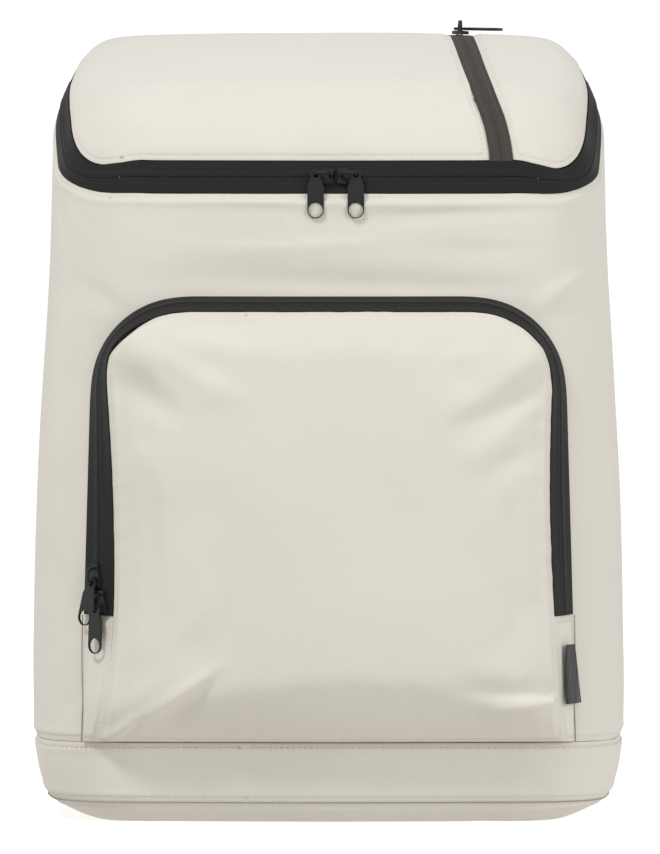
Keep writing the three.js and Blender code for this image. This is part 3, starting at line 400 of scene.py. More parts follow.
def simulate(obj, pressure, **settings):
    """Runs Blender's cloth simulation under pressure alone and gives each point's move."""
    rest = points_of(obj)
    select_only(obj)
    modifier = obj.modifiers.new("Cloth", "CLOTH")
    cloth = modifier.settings
    for key, value in settings.items():
        setattr(cloth, key, value)
    cloth.use_pressure = True
    cloth.uniform_pressure_force = pressure
    cloth.effector_weights.gravity = 0
    modifier.collision_settings.use_collision = False
    modifier.point_cache.frame_start = 1
    modifier.point_cache.frame_end = CLOTH_FRAMES
    for step in range(1, CLOTH_FRAMES + 1):
        bpy.context.scene.frame_set(step)
    bpy.ops.object.modifier_apply(modifier=modifier.name)
    bpy.context.scene.frame_set(1)
    return points_of(obj) - rest


def billow(obj, pressure, growth, cap, swell=0.7 * MM):
    """Cloth simulation: the sheet is held at its edges and blown up a little. No point moves
    further than the cap, or further out than the swell."""
    rest = points_of(obj)
    held = obj.vertex_groups.new(name="held")
    held.add(edge_points(obj), 1.0, "REPLACE")
    move = simulate(
        obj, pressure, quality=6, mass=0.25, tension_stiffness=12, compression_stiffness=12,
        shear_stiffness=4, bending_stiffness=0.15, shrink_min=-growth,
        vertex_group_mass=held.name)
    set_points(obj, rest)
    out = normals_of(obj)
    rise = (move * out).sum(1)
    slide = move - out * rise[:, None]
    rise = np.where(rise > 0, swell, cap) * np.tanh(rise / np.where(rise > 0, swell, cap))
    size = np.linalg.norm(slide, axis=1, keepdims=True)
    slide *= cap * np.tanh(size / cap) / np.maximum(size, TINY)
    move = evened(obj, slide + out * rise[:, None])
    set_points(obj, rest + move)
    obj.vertex_groups.clear()


def evened(obj, move, passes=14):
    """The move of each point, averaged with its neighbours'; the sheet's edge stays held."""
    ends = np.empty(len(obj.data.edges) * 2, np.int32)
    obj.data.edges.foreach_get("vertices", ends)
    a, b = ends.reshape(-1, 2).T
    count = np.bincount(ends, minlength=len(move)).astype(float)[:, None]
    held = edge_points(obj)
    for _ in range(passes):
        total = np.zeros_like(move)
        np.add.at(total, a, move[b])
        np.add.at(total, b, move[a])
        move = (move + total / np.maximum(count, 1)) / 2
        move[held] = 0
    return move


def noise_at(co, size, seed):
    """Smooth noise from -1 to 1 at each point; size is a length or one for each axis."""
    scaled = co / np.asarray(size) + seed * 7.31
    return np.array([noise.noise(Vector(p)) for p in scaled])


def edge_fields(obj, loops=None):
    """Distance of each point from the sheet's edge and its place along it, in metres, kept as
    attributes for the material."""
    co = points_of(obj)
    rows = []
    start = 0.0
    for loop in loops or loops_of(obj):
        ring = co[loop + loop[:1]]
        at = lengths_along(ring)
        fine = resample(ring, max(int(at[-1] / (0.6 * MM)), 8))
        rows += [(p, start + s) for p, s in zip(fine, lengths_along(fine))]
        start += at[-1]
    tree = KDTree(len(rows))
    for i, (p, _) in enumerate(rows):
        tree.insert(p, i)
    tree.balance()
    distance = np.empty(len(co))
    along = np.empty(len(co))
    for i, p in enumerate(co):
        _, near, distance[i] = tree.find(p)
        along[i] = rows[near][1]
    for name, value in (("edge", distance), ("along", along)):
        layer = obj.data.attributes.new(name, "FLOAT", "POINT")
        layer.data.foreach_set("value", value.astype(np.float32))
    return distance, along


def fold_rise(co, folds):
    """Height of a table of folds at each point, by its x and z."""
    x, z = co[:, 0] / MM, co[:, 2] / MM
    rise = np.zeros(len(co))
    for fold in folds:
        turn = math.radians(fold["turn"])
        dx, dz = x - fold["x"], z - fold["z"]
        along = (dx * math.cos(turn) + dz * math.sin(turn)) / (fold["length"] / 2)
        over = dz * math.cos(turn) - dx * math.sin(turn)
        over = over + 2.2 * np.sin(along * 2.1 + fold["x"])
        breadth = np.where(over > 0, fold["high"], fold["low"])
        breadth = breadth * (1.15 - 0.35 * along)
        fade = np.clip(1 - along ** 2, 0, 1) ** 1.2
        rise += fold["rise"] * fade * np.exp(-(over / breadth) ** 2)
    return rise * MM


def nearness(co, nodes, reach):
    """1 at the nodes' surfaces, falling to 0 at a distance of reach."""
    near = np.zeros(len(co))
    for tree in [tree_of(NODES[node]) for node in nodes]:
        gap = np.array([tree.find_nearest(Vector(p), reach)[3] or reach for p in co])
        near = np.maximum(near, 1 - (gap / reach) ** 2)
    return near


def seam_work(obj, folds=(), pucker=1.0, tuck=1.0, drape=0.35, under=()):
    """Rolls the edges in, gathers the cloth along them and lays the folds in."""
    fabric = bpy.context.scene.backpack_fabric
    distance, along = edge_fields(obj)
    co = points_of(obj)
    way = normals_of(obj)
    reach = distance / fabric.margin
    rise = -fabric.tuck * tuck * np.exp(-(reach ** 2))
    rise += 0.45 * fabric.tuck * np.exp(-((reach - 1.9) / 0.8) ** 2)
    wave = noise_at(np.stack([along, along * 0, distance * 0.35], 1), 8 * MM, 3)
    wave += 0.6 * noise_at(np.stack([along, along * 0, distance * 0.2], 1), 19 * MM, 5)
    strength = 0.55 + 0.75 * noise_at(co, 70 * MM, 9)
    fade = np.exp(-distance / (9 * MM)) * (1 - np.exp(-(reach ** 2)) * 0.6)
    rise += fabric.pucker * pucker * wave * fade * np.clip(strength, 0.1, 1.4)
    broad = noise_at(co, (85 * MM, 85 * MM, 60 * MM), 1) + 0.5 * noise_at(co, 38 * MM, 2)
    rise += drape * MM * broad * np.clip(distance / (25 * MM), 0, 1)
    flat = np.clip(nearness(co, under, 14 * MM), 0, 1)
    rise = rise * (1 - flat) - 0.6 * MM * flat
    if folds:
        facing = np.clip(-way[:, 1] * 1.4, 0, 1) if folds is not LID_FOLDS else 1.0
        near = np.clip(distance / (5 * MM), 0.0, 1)
        rise += fold_rise(co, folds) * facing * near
    set_points(obj, co + way * rise[:, None])


def settle(obj):
    """Lets the mouth's two front corners hang down, as a full bag's do."""
    co = points_of(obj)
    across, depth, up = (co / MM).T
    hang = np.where(across > 0, CORNER_HANG["right"], CORNER_HANG["left"])
    hang *= eased(np.abs(across), *HANG_ACROSS) * eased(depth, *HANG_DEPTH)
    co[:, 2] -= hang * np.interp(up, HANG_HEIGHTS, HANG_SHARES) * MM
    set_points(obj, co)


def eased(value, start, end):
    """0 at the start and 1 at the end, with no kink between."""
    share = np.clip((value - start) / (end - start), 0, 1)
    return share * share * (3 - 2 * share)


def weave_map(obj):
    """A box-projected map in metres for the weave."""
    with editing(obj):
        bpy.ops.uv.cube_project(cube_size=1.0, correct_aspect=False)
    obj.data.uv_layers[0].name = "weave"


def thicken(obj, thickness):
    apply(obj, "SOLIDIFY", thickness=thickness, offset=-1.0, use_even_offset=False,
          use_quality_normals=True)
    soften(obj, 50)


def finish_piece(obj, nodes, material):
    obj.data.materials.clear()
    obj.data.materials.append(material)
    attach(obj, BODY)
    if nodes:
        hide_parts(*nodes)
    return obj


class Shader:
    """A node tree that is built by short calls."""

    def __init__(self, name):
        self.material = bpy.data.materials.new(name)
        self.material.use_nodes = True
        self.tree = self.material.node_tree
        self.tree.nodes.clear()
        self.out = self.tree.nodes.new("ShaderNodeOutputMaterial")
        self.surface = self.tree.nodes.new("ShaderNodeBsdfPrincipled")
        self.tree.links.new(self.surface.outputs[0], self.out.inputs[0])
        self.place = self.tree.nodes.new("ShaderNodeTexCoord").outputs["Object"]

    def node(self, kind, inputs, output=0, **settings):
        made = self.tree.nodes.new("ShaderNode" + kind)
        for key, value in settings.items():
            setattr(made, key, value)
        for key, value in inputs.items():
            if isinstance(value, bpy.types.NodeSocket):
                self.tree.links.new(value, made.inputs[key])
            else:
                made.inputs[key].default_value = value
        return made.outputs[output]

    def math(self, operation, a, b=0.0, c=0.0):
        return self.node("Math", {0: a, 1: b, 2: c}, operation=operation)

    def noise(self, scale, detail=3.0, place=None, rough=0.5, output=0):
        return self.node("TexNoise", {
            "Vector": place or self.place, "Scale": scale, "Detail": detail,
            "Roughness": rough}, output=output)

    def stretched(self, place, scale):
        return self.node("Mapping", {"Vector": place, "Scale": scale})

    def mix(self, share, a, b):
        return self.node("Mix", {0: share, 6: a, 7: b}, output=2, data_type="RGBA")

    def between(self, value, low, high, to_low=0.0, to_high=1.0):
        return self.node("MapRange", {
            "Value": value, "From Min": low, "From Max": high, "To Min": to_low,
            "To Max": to_high})

    def split(self, vector):
        made = self.tree.nodes.new("ShaderNodeSeparateXYZ")
        self.tree.links.new(vector, made.inputs[0])
        return made.outputs

    def attribute(self, name):
        return self.node("Attribute", {}, output=2, attribute_name=name)

    def map(self, name):
        return self.node("UVMap", {}, uv_map=name)

    def bump(self, height, distance, strength=1.0, normal=None):
        inputs = {"Height": height, "Distance": distance, "Strength": strength}
        if normal is not None:
            inputs["Normal"] = normal
        return self.node("Bump", inputs)

    def set(self, **values):
        for key, value in values.items():
            key = key.replace("_", " ")
            if isinstance(value, bpy.types.NodeSocket):
                self.tree.links.new(value, self.surface.inputs[key])
            else:
                self.surface.inputs[key].default_value = value


def shade(colour, by):
    return tuple(min(c * by, 1.0) for c in colour) + (1.0,)


def fabric_material(name, tint=1.0):
    fabric = bpy.context.scene.backpack_fabric
    s = Shader(name)
    base = [c * tint for c in fabric.colour]
    turn = 2 * math.pi / (2 * fabric.weave)
    u, v, _ = s.split(s.map("weave"))
    wobble = s.math("MULTIPLY", s.noise(60.0, 2.0), 0.6 * MM)
    across = s.math("SINE", s.math("MULTIPLY", s.math("ADD", u, wobble), turn))
    up = s.math("SINE", s.math("MULTIPLY", s.math("ADD", v, wobble), turn))
    cells = s.math("ABSOLUTE", s.math("MULTIPLY", across, up))
    slub_u = s.noise(1.0, 2.0, s.stretched(s.map("weave"), (60.0, 1100.0, 1.0)))
    slub_v = s.noise(1.0, 2.0, s.stretched(s.map("weave"), (1100.0, 60.0, 1.0)))
    slubs = s.math("MULTIPLY", s.math("ADD", slub_u, slub_v), 0.5)
    grain = s.noise(850.0, 3.0)
    mottle = s.noise(9.0, 4.0, rough=0.6)
    cool = s.noise(4.5, 2.0)

    edge = s.attribute("edge")
    along = s.attribute("along")
    from_row = s.math("ABSOLUTE", s.math("SUBTRACT", edge, fabric.margin))
    groove = s.between(from_row, 0.0, 1.3 * MM, 1.0, 0.0)
    holes = s.math("SINE", s.math("MULTIPLY", along, 2 * math.pi / fabric.stitch))
    dents = s.math("MULTIPLY", groove, s.between(holes, -1.0, 1.0, 0.55, 1.0))

    colour = s.mix(s.between(mottle, 0.3, 0.7), shade(base, 0.965), shade(base, 1.02))
    colour = s.mix(s.between(cool, 0.35, 0.65, 0.0, 0.35), colour,
                   (base[0] * 0.985, base[1] * 0.998, base[2] * 1.035, 1.0))
    colour = s.mix(s.between(slubs, 0.36, 0.64, 0.0, 0.25), colour, shade(base, 0.96))
    # Darker, warmer cloth in noisy patches within 5 mm of a seam: partly grime, partly painted
    # shade where the seam's rolled edge lies in shadow.
    grime_and_seam_shade = s.math("MULTIPLY", s.between(edge, 0.0, 5 * MM, 0.5, 0.0), s.noise(40.0, 2.0))
    colour = s.mix(grime_and_seam_shade, colour, (base[0] * 0.9, base[1] * 0.87, base[2] * 0.82, 1.0))
    s.set(Base_Color=colour)
    s.set(Roughness=s.between(grain, 0.3, 0.7, 0.82, 0.95))
    s.surface.inputs["Specular IOR Level"].default_value = 0.22
    s.surface.inputs["Sheen Weight"].default_value = 0.12
    s.surface.inputs["Sheen Roughness"].default_value = 0.5
    crumple = s.noise(70.0, 4.0, rough=0.55)
    normal = s.bump(crumple, 0.8 * MM, 0.45)
    normal = s.bump(slubs, 0.2 * MM, 0.3, normal)
    normal = s.bump(s.math("ADD", cells, s.math("MULTIPLY", grain, 0.8)), 0.07 * MM, 0.3, normal)
    normal = s.bump(s.math("MULTIPLY", dents, -1.0), 0.45 * MM, 0.8, normal)
    s.set(Normal=normal)
    return s.material


def tape_material(name, base, rows=True):
    """Woven tape: u runs along it and v across it, in metres; v is 0 at the coil."""
    zips = bpy.context.scene.backpack_zips
    s = Shader(name)
    u, v, _ = s.split(s.map("tape"))
    lean = s.math("ADD", u, s.math("MULTIPLY", v, 1.0))
    twill = s.math("SINE", s.math("MULTIPLY", lean, 2 * math.pi / (0.9 * MM)))
    ribs = s.math("SINE", s.math("MULTIPLY", v, 2 * math.pi / (0.8 * MM)))
    # Long streaks along the tape make the colour lighter in places: painted sheen. The same
    # streaks also vary the roughness.
    sheen_streak = s.noise(1.0, 3.0, s.stretched(s.map("tape"), (14.0, 900.0, 1.0)))
    dust = s.noise(1.0, 4.0, s.stretched(s.map("tape"), (260.0, 420.0, 1.0)), rough=0.7)
    turns = s.math("SINE", s.math("MULTIPLY", u, 2 * math.pi / zips.pitch))
    by_coil = s.between(v, 0.2 * MM, 3.0 * MM, 1.0, 0.0)
    row = s.between(s.math("ABSOLUTE", s.math("SUBTRACT", v, 3.6 * MM)), 0.0, 0.5 * MM, 1.0, 0.0)
    dash = s.math("MULTIPLY", row, s.between(turns, -0.3, 0.3))
    colour = s.mix(s.between(sheen_streak, 0.35, 0.7), shade(base, 0.85), shade(base, 1.25))
    colour = s.mix(s.between(dust, 0.58, 0.75, 0.0, 0.35), colour, shade(base, 2.4))
    colour = s.mix(s.math("MULTIPLY", dash, 0.5 if rows else 0.0), colour, shade(base, 3.5))
    s.set(Base_Color=colour, Roughness=s.between(sheen_streak, 0.3, 0.7, 0.66, 0.88))
    s.surface.inputs["Specular IOR Level"].default_value = 0.28
    s.surface.inputs["Sheen Weight"].default_value = 0.06
    s.surface.inputs["Sheen Roughness"].default_value = 0.4
    weave = s.math("ADD", s.math("MULTIPLY", twill, 0.5), s.math("MULTIPLY", ribs, 0.4))
    normal = s.bump(s.math("MULTIPLY", turns, by_coil), 0.22 * MM, 0.5)
    normal = s.bump(weave, 0.1 * MM, 0.4, normal)
    normal = s.bump(dash, 0.3 * MM, 0.6, normal)
    s.set(Normal=normal)
    return s.material


def webbing_material(name, base):
    """Ribbed webbing: u runs along it and v across it."""
    s = Shader(name)
    u, v, _ = s.split(s.map("tape"))
    ribs = s.math("SINE", s.math("MULTIPLY", u, 2 * math.pi / (1.6 * MM)))
    cord = s.math("SINE", s.math("MULTIPLY", v, 2 * math.pi / (2.4 * MM)))
    fuzz = s.noise(900.0, 3.0)
    wear = s.noise(30.0, 3.0)
    colour = s.mix(s.between(wear, 0.4, 0.7), shade(base, 0.8), shade(base, 1.5))
    colour = s.mix(s.between(fuzz, 0.55, 0.8, 0.0, 0.4), colour, shade(base, 2.6))
    s.set(Base_Color=colour, Roughness=0.8)
    s.surface.inputs["Sheen Weight"].default_value = 0.2
    normal = s.bump(s.math("MULTIPLY", ribs, s.between(cord, -1.0, 1.0, 0.4, 1.0)), 0.25 * MM, 0.6)
    normal = s.bump(fuzz, 0.1 * MM, 0.5, normal)
    s.set(Normal=normal)
    return s.material


def hard_material(name, base, metal, rough, wear=0.3):
    """Painted metal or moulded plastic, a little brighter where it is rubbed."""
    s = Shader(name)
    smear = s.noise(120.0, 4.0, rough=0.6)
    fine = s.noise(1500.0, 2.0)
    rubbed = s.node("NewGeometry", {}, output="Pointiness")
    edges = s.between(rubbed, 0.52, 0.6, 0.0, wear)
    colour = s.mix(s.between(smear, 0.4, 0.75), shade(base, 0.8), shade(base, 1.5))
    colour = s.mix(edges, colour, shade(base, 6.0))
    s.set(Base_Color=colour, Metallic=metal,
          Roughness=s.between(smear, 0.3, 0.75, rough, rough + 0.18))
    s.surface.inputs["Specular IOR Level"].default_value = 0.3
    s.surface.inputs["Coat Weight"].default_value = 0.1 if metal else 0.0
    s.surface.inputs["Coat Roughness"].default_value = 0.25
    s.set(Normal=s.bump(fine, 0.03 * MM, 0.3))
    return s.material


def thread_material(name, base):
    s = Shader(name)
    ply = s.math("SINE", s.math("MULTIPLY", s.split(s.place)[0], 2 * math.pi / (0.5 * MM)))
    tone = s.noise(200.0, 2.0)
    s.set(Base_Color=s.mix(tone, shade(base, 0.85), shade(base, 1.1)), Roughness=0.7)
    s.set(Normal=s.bump(ply, 0.05 * MM, 0.5))
    return s.material


MATERIALS = {}


def make_materials():
    zips = bpy.context.scene.backpack_zips
    fabric = bpy.context.scene.backpack_fabric
    MATERIALS.update(
        fabric=fabric_material("fabric_cream"),
        tape=tape_material("zip_tape_black", zips.tape),
        # Lighter copy of the tape material for the lid: painted light, because that tape faces up.
        lid_tape=tape_material("zip_tape_lid_lit", zips.lid_tape),
        webbing=webbing_material("webbing_black", (0.013, 0.0127, 0.0122)),
        metal=hard_material("black_metal", (0.006, 0.0063, 0.006), 0.1, 0.4),
        plastic=hard_material("black_plastic", (0.014, 0.0138, 0.0135), 0.0, 0.48),
        thread=thread_material("thread_cream", [c * 0.92 for c in fabric.colour]),
        # Painted shade for the seams' gaps: the cloth's colour darkened to 45%.
        seam=thread_material("seam_shadow", [c * 0.45 for c in fabric.colour]),
    )


def cloth_panel(node, name, facing, levels=3, upright=0, pressure=2.0, growth=0.01,
                cap=3 * MM, folds=(), pucker=1.0, tuck=1.0, drape=0.35, under=(),
                swell=0.7 * MM):
    """One sewn panel of padded cloth over a CAD wall."""
    fabric = bpy.context.scene.backpack_fabric
    piece = skin(node, name, facing)
    keep_corners(piece)
    smooth_levels(piece, levels - 1)
    if upright:
        tall = lambda e: abs((e.verts[0].co - e.verts[1].co).normalized().z) > 0.7
        split_edges(piece, tall, upright)
    billow(piece, pressure, growth, cap, swell)
    smooth_levels(piece, 1)
    settle(piece)
    seam_work(piece, folds, pucker, tuck, drape, under)
    weave_map(piece)
    thicken(piece, fabric.thickness)
    finish_piece(piece, [node], MATERIALS["fabric"])
    return piece


class BACKPACK_OT_body(bpy.types.Operator):
    """Sew the front, the sides, the back and the base"""

    bl_idname = "backpack.body"
    bl_label = "Body"

    def execute(self, context):
        cloth_panel(
            "front_and_sides", "body_front_and_sides", (0, -1, 0), levels=4,
            upright=1, pressure=1.2, growth=0.006, folds=FRONT_FOLDS,
            under=("main_left_puller", "main_right_puller", "pocket_upper_puller"))
        cloth_panel(
            "back_panel", "body_back", (0, 1, 0), levels=4,
            upright=2, pressure=2.5, growth=0.01, folds=())
        cloth_panel(
            "base_band", "body_base_band", (0, -1, 0), levels=3, pressure=0.8, growth=0.004,
            cap=1.5 * MM, folds=BASE_FOLDS, pucker=0.6, drape=0.2)
        cloth_panel(
            "base_tray", "body_base_tray", (0, 0, -1), levels=3,
            pressure=0.3, growth=0.002, cap=1.0 * MM, pucker=0.5, drape=0.1)
        return {"FINISHED"}


def lid_zip_rails(step=2.5 * MM):
    """The edges of the lid's zip, back to front, carried on under the main zip."""
    tree = tree_of(NODES["lid_panel"])
    down = Vector((0, 0, -1))
    rails = []
    for rail in rails_of("lid_zip_tape", (0, 0, 1)):
        rail = rail if rail[0][1] > rail[-1][1] else rail[::-1]
        way = (rail[-1] - rail[-3]) * (1, 1, 0)
        way *= step / np.linalg.norm(way)
        more = []
        for _ in range(12):
            p = (more[-1] if more else rail[-1]) + way
            found = tree.ray_cast(Vector((p[0], p[1], 1.0)), down)[0]
            if not found or found.z < rail[-1][2] - 16 * MM:
                break
            more.append(np.array((p[0], p[1], found.z + 0.4 * MM)))
        rails.append((rail, more))
    count = min(len(more) for _, more in rails)
    return [np.concatenate([rail, np.reshape(more[:count], (-1, 3))]) for rail, more in rails]


class BACKPACK_OT_lid(bpy.types.Operator):
    """Sew the domed lid and its hinge at the back"""

    bl_idname = "backpack.lid"
    bl_label = "Lid"

    rings: bpy.props.IntProperty(
        name="Rings", description="Rings of quads from the middle to the edge", default=26)

    def execute(self, context):
        fabric = context.scene.backpack_fabric
        piece = skin("lid_panel", "lid_rails", (0, 0, 1), fold=52)
        edge = spline(points_of(piece)[loops_of(piece)[0]], 10, closed=True)
        bpy.data.objects.remove(piece)
        middle = (edge.max(0) + edge.min(0)) / 2
        angle = np.arctan2((edge[:, 1] - middle[1]) * 1.7, edge[:, 0] - middle[0])
        order = np.argsort(angle)
        edge, angle = edge[order], angle[order]
        trees = [tree_of(NODES["lid_panel"]), tree_of(NODES["lid_zip_tape"])]
        n = self.rings
        down = Vector((0, 0, -1))
        points = np.zeros((2 * n + 1, 2 * n + 1, 3))
        for i in range(2 * n + 1):
            for j in range(2 * n + 1):
                a, b = (i - n) / n, (j - n) / n
                share = max(abs(a), abs(b))
                at = math.atan2(b, a)
                rim = np.array([np.interp(at, angle, edge[:, k], period=2 * math.pi)
                                for k in range(3)])
                p = middle + (rim - middle) * share
                if share < 1:
                    found = [tree.ray_cast(Vector((p[0], p[1], 1.0)), down)[0] for tree in trees]
                    tops = [f.z + lift for f, lift in zip(found, (0.0, 0.4 * MM)) if f]
                    p[2] = max(tops)
                points[i, j] = p
        for _ in range(4):
            inner = points[1:-1, 1:-1, 2]
            mean = (points[:-2, 1:-1, 2] + points[2:, 1:-1, 2] + points[1:-1, :-2, 2]
                    + points[1:-1, 2:, 2]) / 4
            points[1:-1, 1:-1, 2] = inner * 0.4 + mean * 0.6
        side = 2 * n + 1
        faces = [(i * side + j, (i + 1) * side + j, (i + 1) * side + j + 1, i * side + j + 1)
                 for i in range(2 * n) for j in range(2 * n)]
        mesh = bpy.data.meshes.new("lid_top")
        mesh.from_pydata(points.reshape(-1, 3).tolist(), [], faces)
        piece = new_piece("lid_top", mesh)
        billow(piece, 1.0, 0.004, 2.5 * MM)
        smooth_levels(piece, 1)
        self.open_for_zip(piece)
        settle(piece)
        seam_work(piece, LID_FOLDS, 0.9, 1.0, 0.4)
        weave_map(piece)
        thicken(piece, fabric.thickness)
        finish_piece(piece, ["lid_panel"], MATERIALS["fabric"])
        cloth_panel(
            "lid_hinge", "lid_back_hinge", (0, 1, 0), levels=4, pressure=0.5,
            growth=0.0, cap=1 * MM, pucker=0.5, drape=0.1)
        return {"FINISHED"}

    def open_for_zip(self, piece):
        """Cuts the cloth along both sides of the lid's zip."""
        rails = [spline(rail, 12) for rail in lid_zip_rails()]
        spine = (resample(rails[0], 240) + resample(rails[1], 240)) / 2
        half = np.linalg.norm(resample(rails[0], 240) - resample(rails[1], 240), axis=1) / 2
        tree = KDTree(len(spine))
        for i, p in enumerate(spine):
            tree.insert(p, i)
        tree.balance()

        def under_zip(face):
            _, near, distance = tree.find(face.calc_center_median())
            return distance < half[near]

        with editing(piece):
            select_where(piece, "FACE", under_zip)
            bpy.ops.mesh.delete(type="FACE")
        fine = [resample(rail, 900) for rail in rails]
        rail_tree = KDTree(1800)
        for i, p in enumerate(np.concatenate(fine)):
            rail_tree.insert(p, i)
        rail_tree.balance()
        co = points_of(piece)
        for loop in loops_of(piece):
            for index in loop:
                at, near, distance = rail_tree.find(co[index])
                if distance < 3.2 * MM:
                    co[index][:2] = at[:2]
        set_points(piece, co)


class BACKPACK_OT_pocket(bpy.types.Operator):
    """Sew the front pocket and the strips under the ends of its zip"""

    bl_idname = "backpack.pocket"
    bl_label = "Front pocket"

    def execute(self, context):
        cloth_panel(
            "pocket_panel", "pocket_front", (0, -1, 0), levels=4, pressure=1.2,
            growth=0.006, cap=1.5 * MM, folds=POCKET_FOLDS, pucker=1.5, drape=0.6,
            swell=1.8 * MM)
        for side, out in (("left", -1), ("right", 1)):
            cloth_panel(
                "pocket_gusset_" + side, "pocket_strip_" + side, (out * 0.7, -0.7, 0), levels=4,
                pressure=0.5, growth=0.004, cap=1.0 * MM, pucker=0.8, drape=0.3)
        return {"FINISHED"}


def make_strip(name, rails, profile, step=2 * MM, out=None):
    """A band between two rails. The profile gives places across, from the first rail to the
    second, and how far each stands out."""
    a, b = (spline(rail, 8) for rail in rails)
    if len(a) != len(b):
        a, b = resample(rails[0], 300), resample(rails[1], 300)
    at = lengths_along((a + b) / 2)
    count = max(int(at[-1] / step), 4)
    places = np.linspace(0, at[-1], count)
    pick = lambda rail: np.stack([np.interp(places, at, rail[:, i]) for i in range(3)], 1)
    a, b = pick(a), pick(b)
    along = np.gradient((a + b) / 2, axis=0)
    normal = np.cross(along, b - a)
    normal /= np.maximum(np.linalg.norm(normal, axis=1, keepdims=True), 1e-12)
    if out is not None and np.dot(normal[count // 2], out) < 0:
        normal = -normal
    flip = np.dot(np.cross(along[count // 2], (b - a)[count // 2]), normal[count // 2]) < 0
    width = np.linalg.norm(b - a, axis=1).mean()
    verts = []
    for share, rise in profile:
        verts.append(a + (b - a) * share + normal * rise)
    grid = np.stack(verts, axis=1)
    cols = len(profile)
    faces, uvs = [], []
    for i in range(count - 1):
        for j in range(cols - 1):
            quad = [(i, j), (i + 1, j), (i + 1, j + 1), (i, j + 1)]
            if flip:
                quad.reverse()
            faces.append([r * cols + c for r, c in quad])
            uvs += [(places[r], profile[c][0] * width) for r, c in quad]
    mesh = bpy.data.meshes.new(name)
    mesh.from_pydata(grid.reshape(-1, 3).tolist(), [], faces)
    layer = mesh.uv_layers.new(name="tape")
    layer.data.foreach_set("uv", np.array(uvs, np.float32).ravel())
    return new_piece(name, mesh), width


class BACKPACK_OT_zips(bpy.types.Operator):
    """Lay the zips' tapes with their covered coils"""

    bl_idname = "backpack.zips"
    bl_label = "Zips"

    def tape(self, node, facing, centre_last, material, double=False, rails=None):
        zips = bpy.context.scene.backpack_zips
        first, second = rails or rails_of(node, facing)
        if not centre_last(first.mean(0), second.mean(0)):
            first, second = second, first
        rise = zips.coil
        half = [(0.0, 0.0), (0.08, 0.02 * MM), (0.3, 0.05 * MM), (0.55, 0.05 * MM),
                (0.66, 0.1 * MM), (0.74, 0.55 * rise), (0.83, rise), (0.92, 0.8 * rise),
                (1.0, 0.15 * rise)]
        if double:
            profile = [(s / 2, r) for s, r in half] + [(1 - s / 2, r) for s, r in half[-2::-1]]
        else:
            profile = half
        piece, width = make_strip(node + "_cloth", (first, second), profile, out=facing)
        layer = piece.data.uv_layers["tape"]
        uv = np.empty(len(layer.data) * 2, np.float32)
        layer.data.foreach_get("uv", uv)
        uv = uv.reshape(-1, 2)
        uv[:, 1] = np.abs(uv[:, 1] - width / 2) if double else width - uv[:, 1]
        layer.data.foreach_set("uv", uv.ravel())
        settle(piece)
        apply(piece, "SOLIDIFY", thickness=zips.thickness, offset=-1.0)
        soften(piece, 50)
        finish_piece(piece, [node], material)
        return piece

    def execute(self, context):
        front = (0, -1, 0)
        higher = lambda a, b: b[2] > a[2]
        lower = lambda a, b: b[2] < a[2]
        nearer = lambda a, b: b[1] < a[1]
        further = lambda a, b: b[1] > a[1]
        tape = MATERIALS["tape"]
        self.tape("main_zip_tape_lower", front, higher, tape)
        self.tape("main_zip_tape_upper", front, lower, tape)
        self.tape("pocket_zip_tape_outer", front, nearer, tape)
        self.tape("pocket_zip_tape_inner", front, further, tape)
        self.tape("lid_zip_tape", (0, 0, 1), lower, MATERIALS["lid_tape"], double=True,
                  rails=lid_zip_rails())
        return {"FINISHED"}


class BACKPACK_OT_hardware(bpy.types.Operator):
    """Round off the sliders, the pullers and the buckles and paint them"""

    bl_idname = "backpack.hardware"
    bl_label = "Hardware"

    def execute(self, context):
        for name, node in NODES.items():
            metal = name.endswith(("_slider", "_puller"))
            if not metal and not name.startswith("ladder_lock"):
                continue
            bevel = node.modifiers.new("Bevel", "BEVEL")
            bevel.width = 0.35 * MM if metal else 0.6 * MM
            bevel.segments = 3
            bevel.limit_method = "ANGLE"
            bevel.angle_limit = math.radians(32)
            node.data.materials.clear()
            node.data.materials.append(MATERIALS["metal" if metal else "plastic"])
            node.data.shade_smooth()
        return {"FINISHED"}


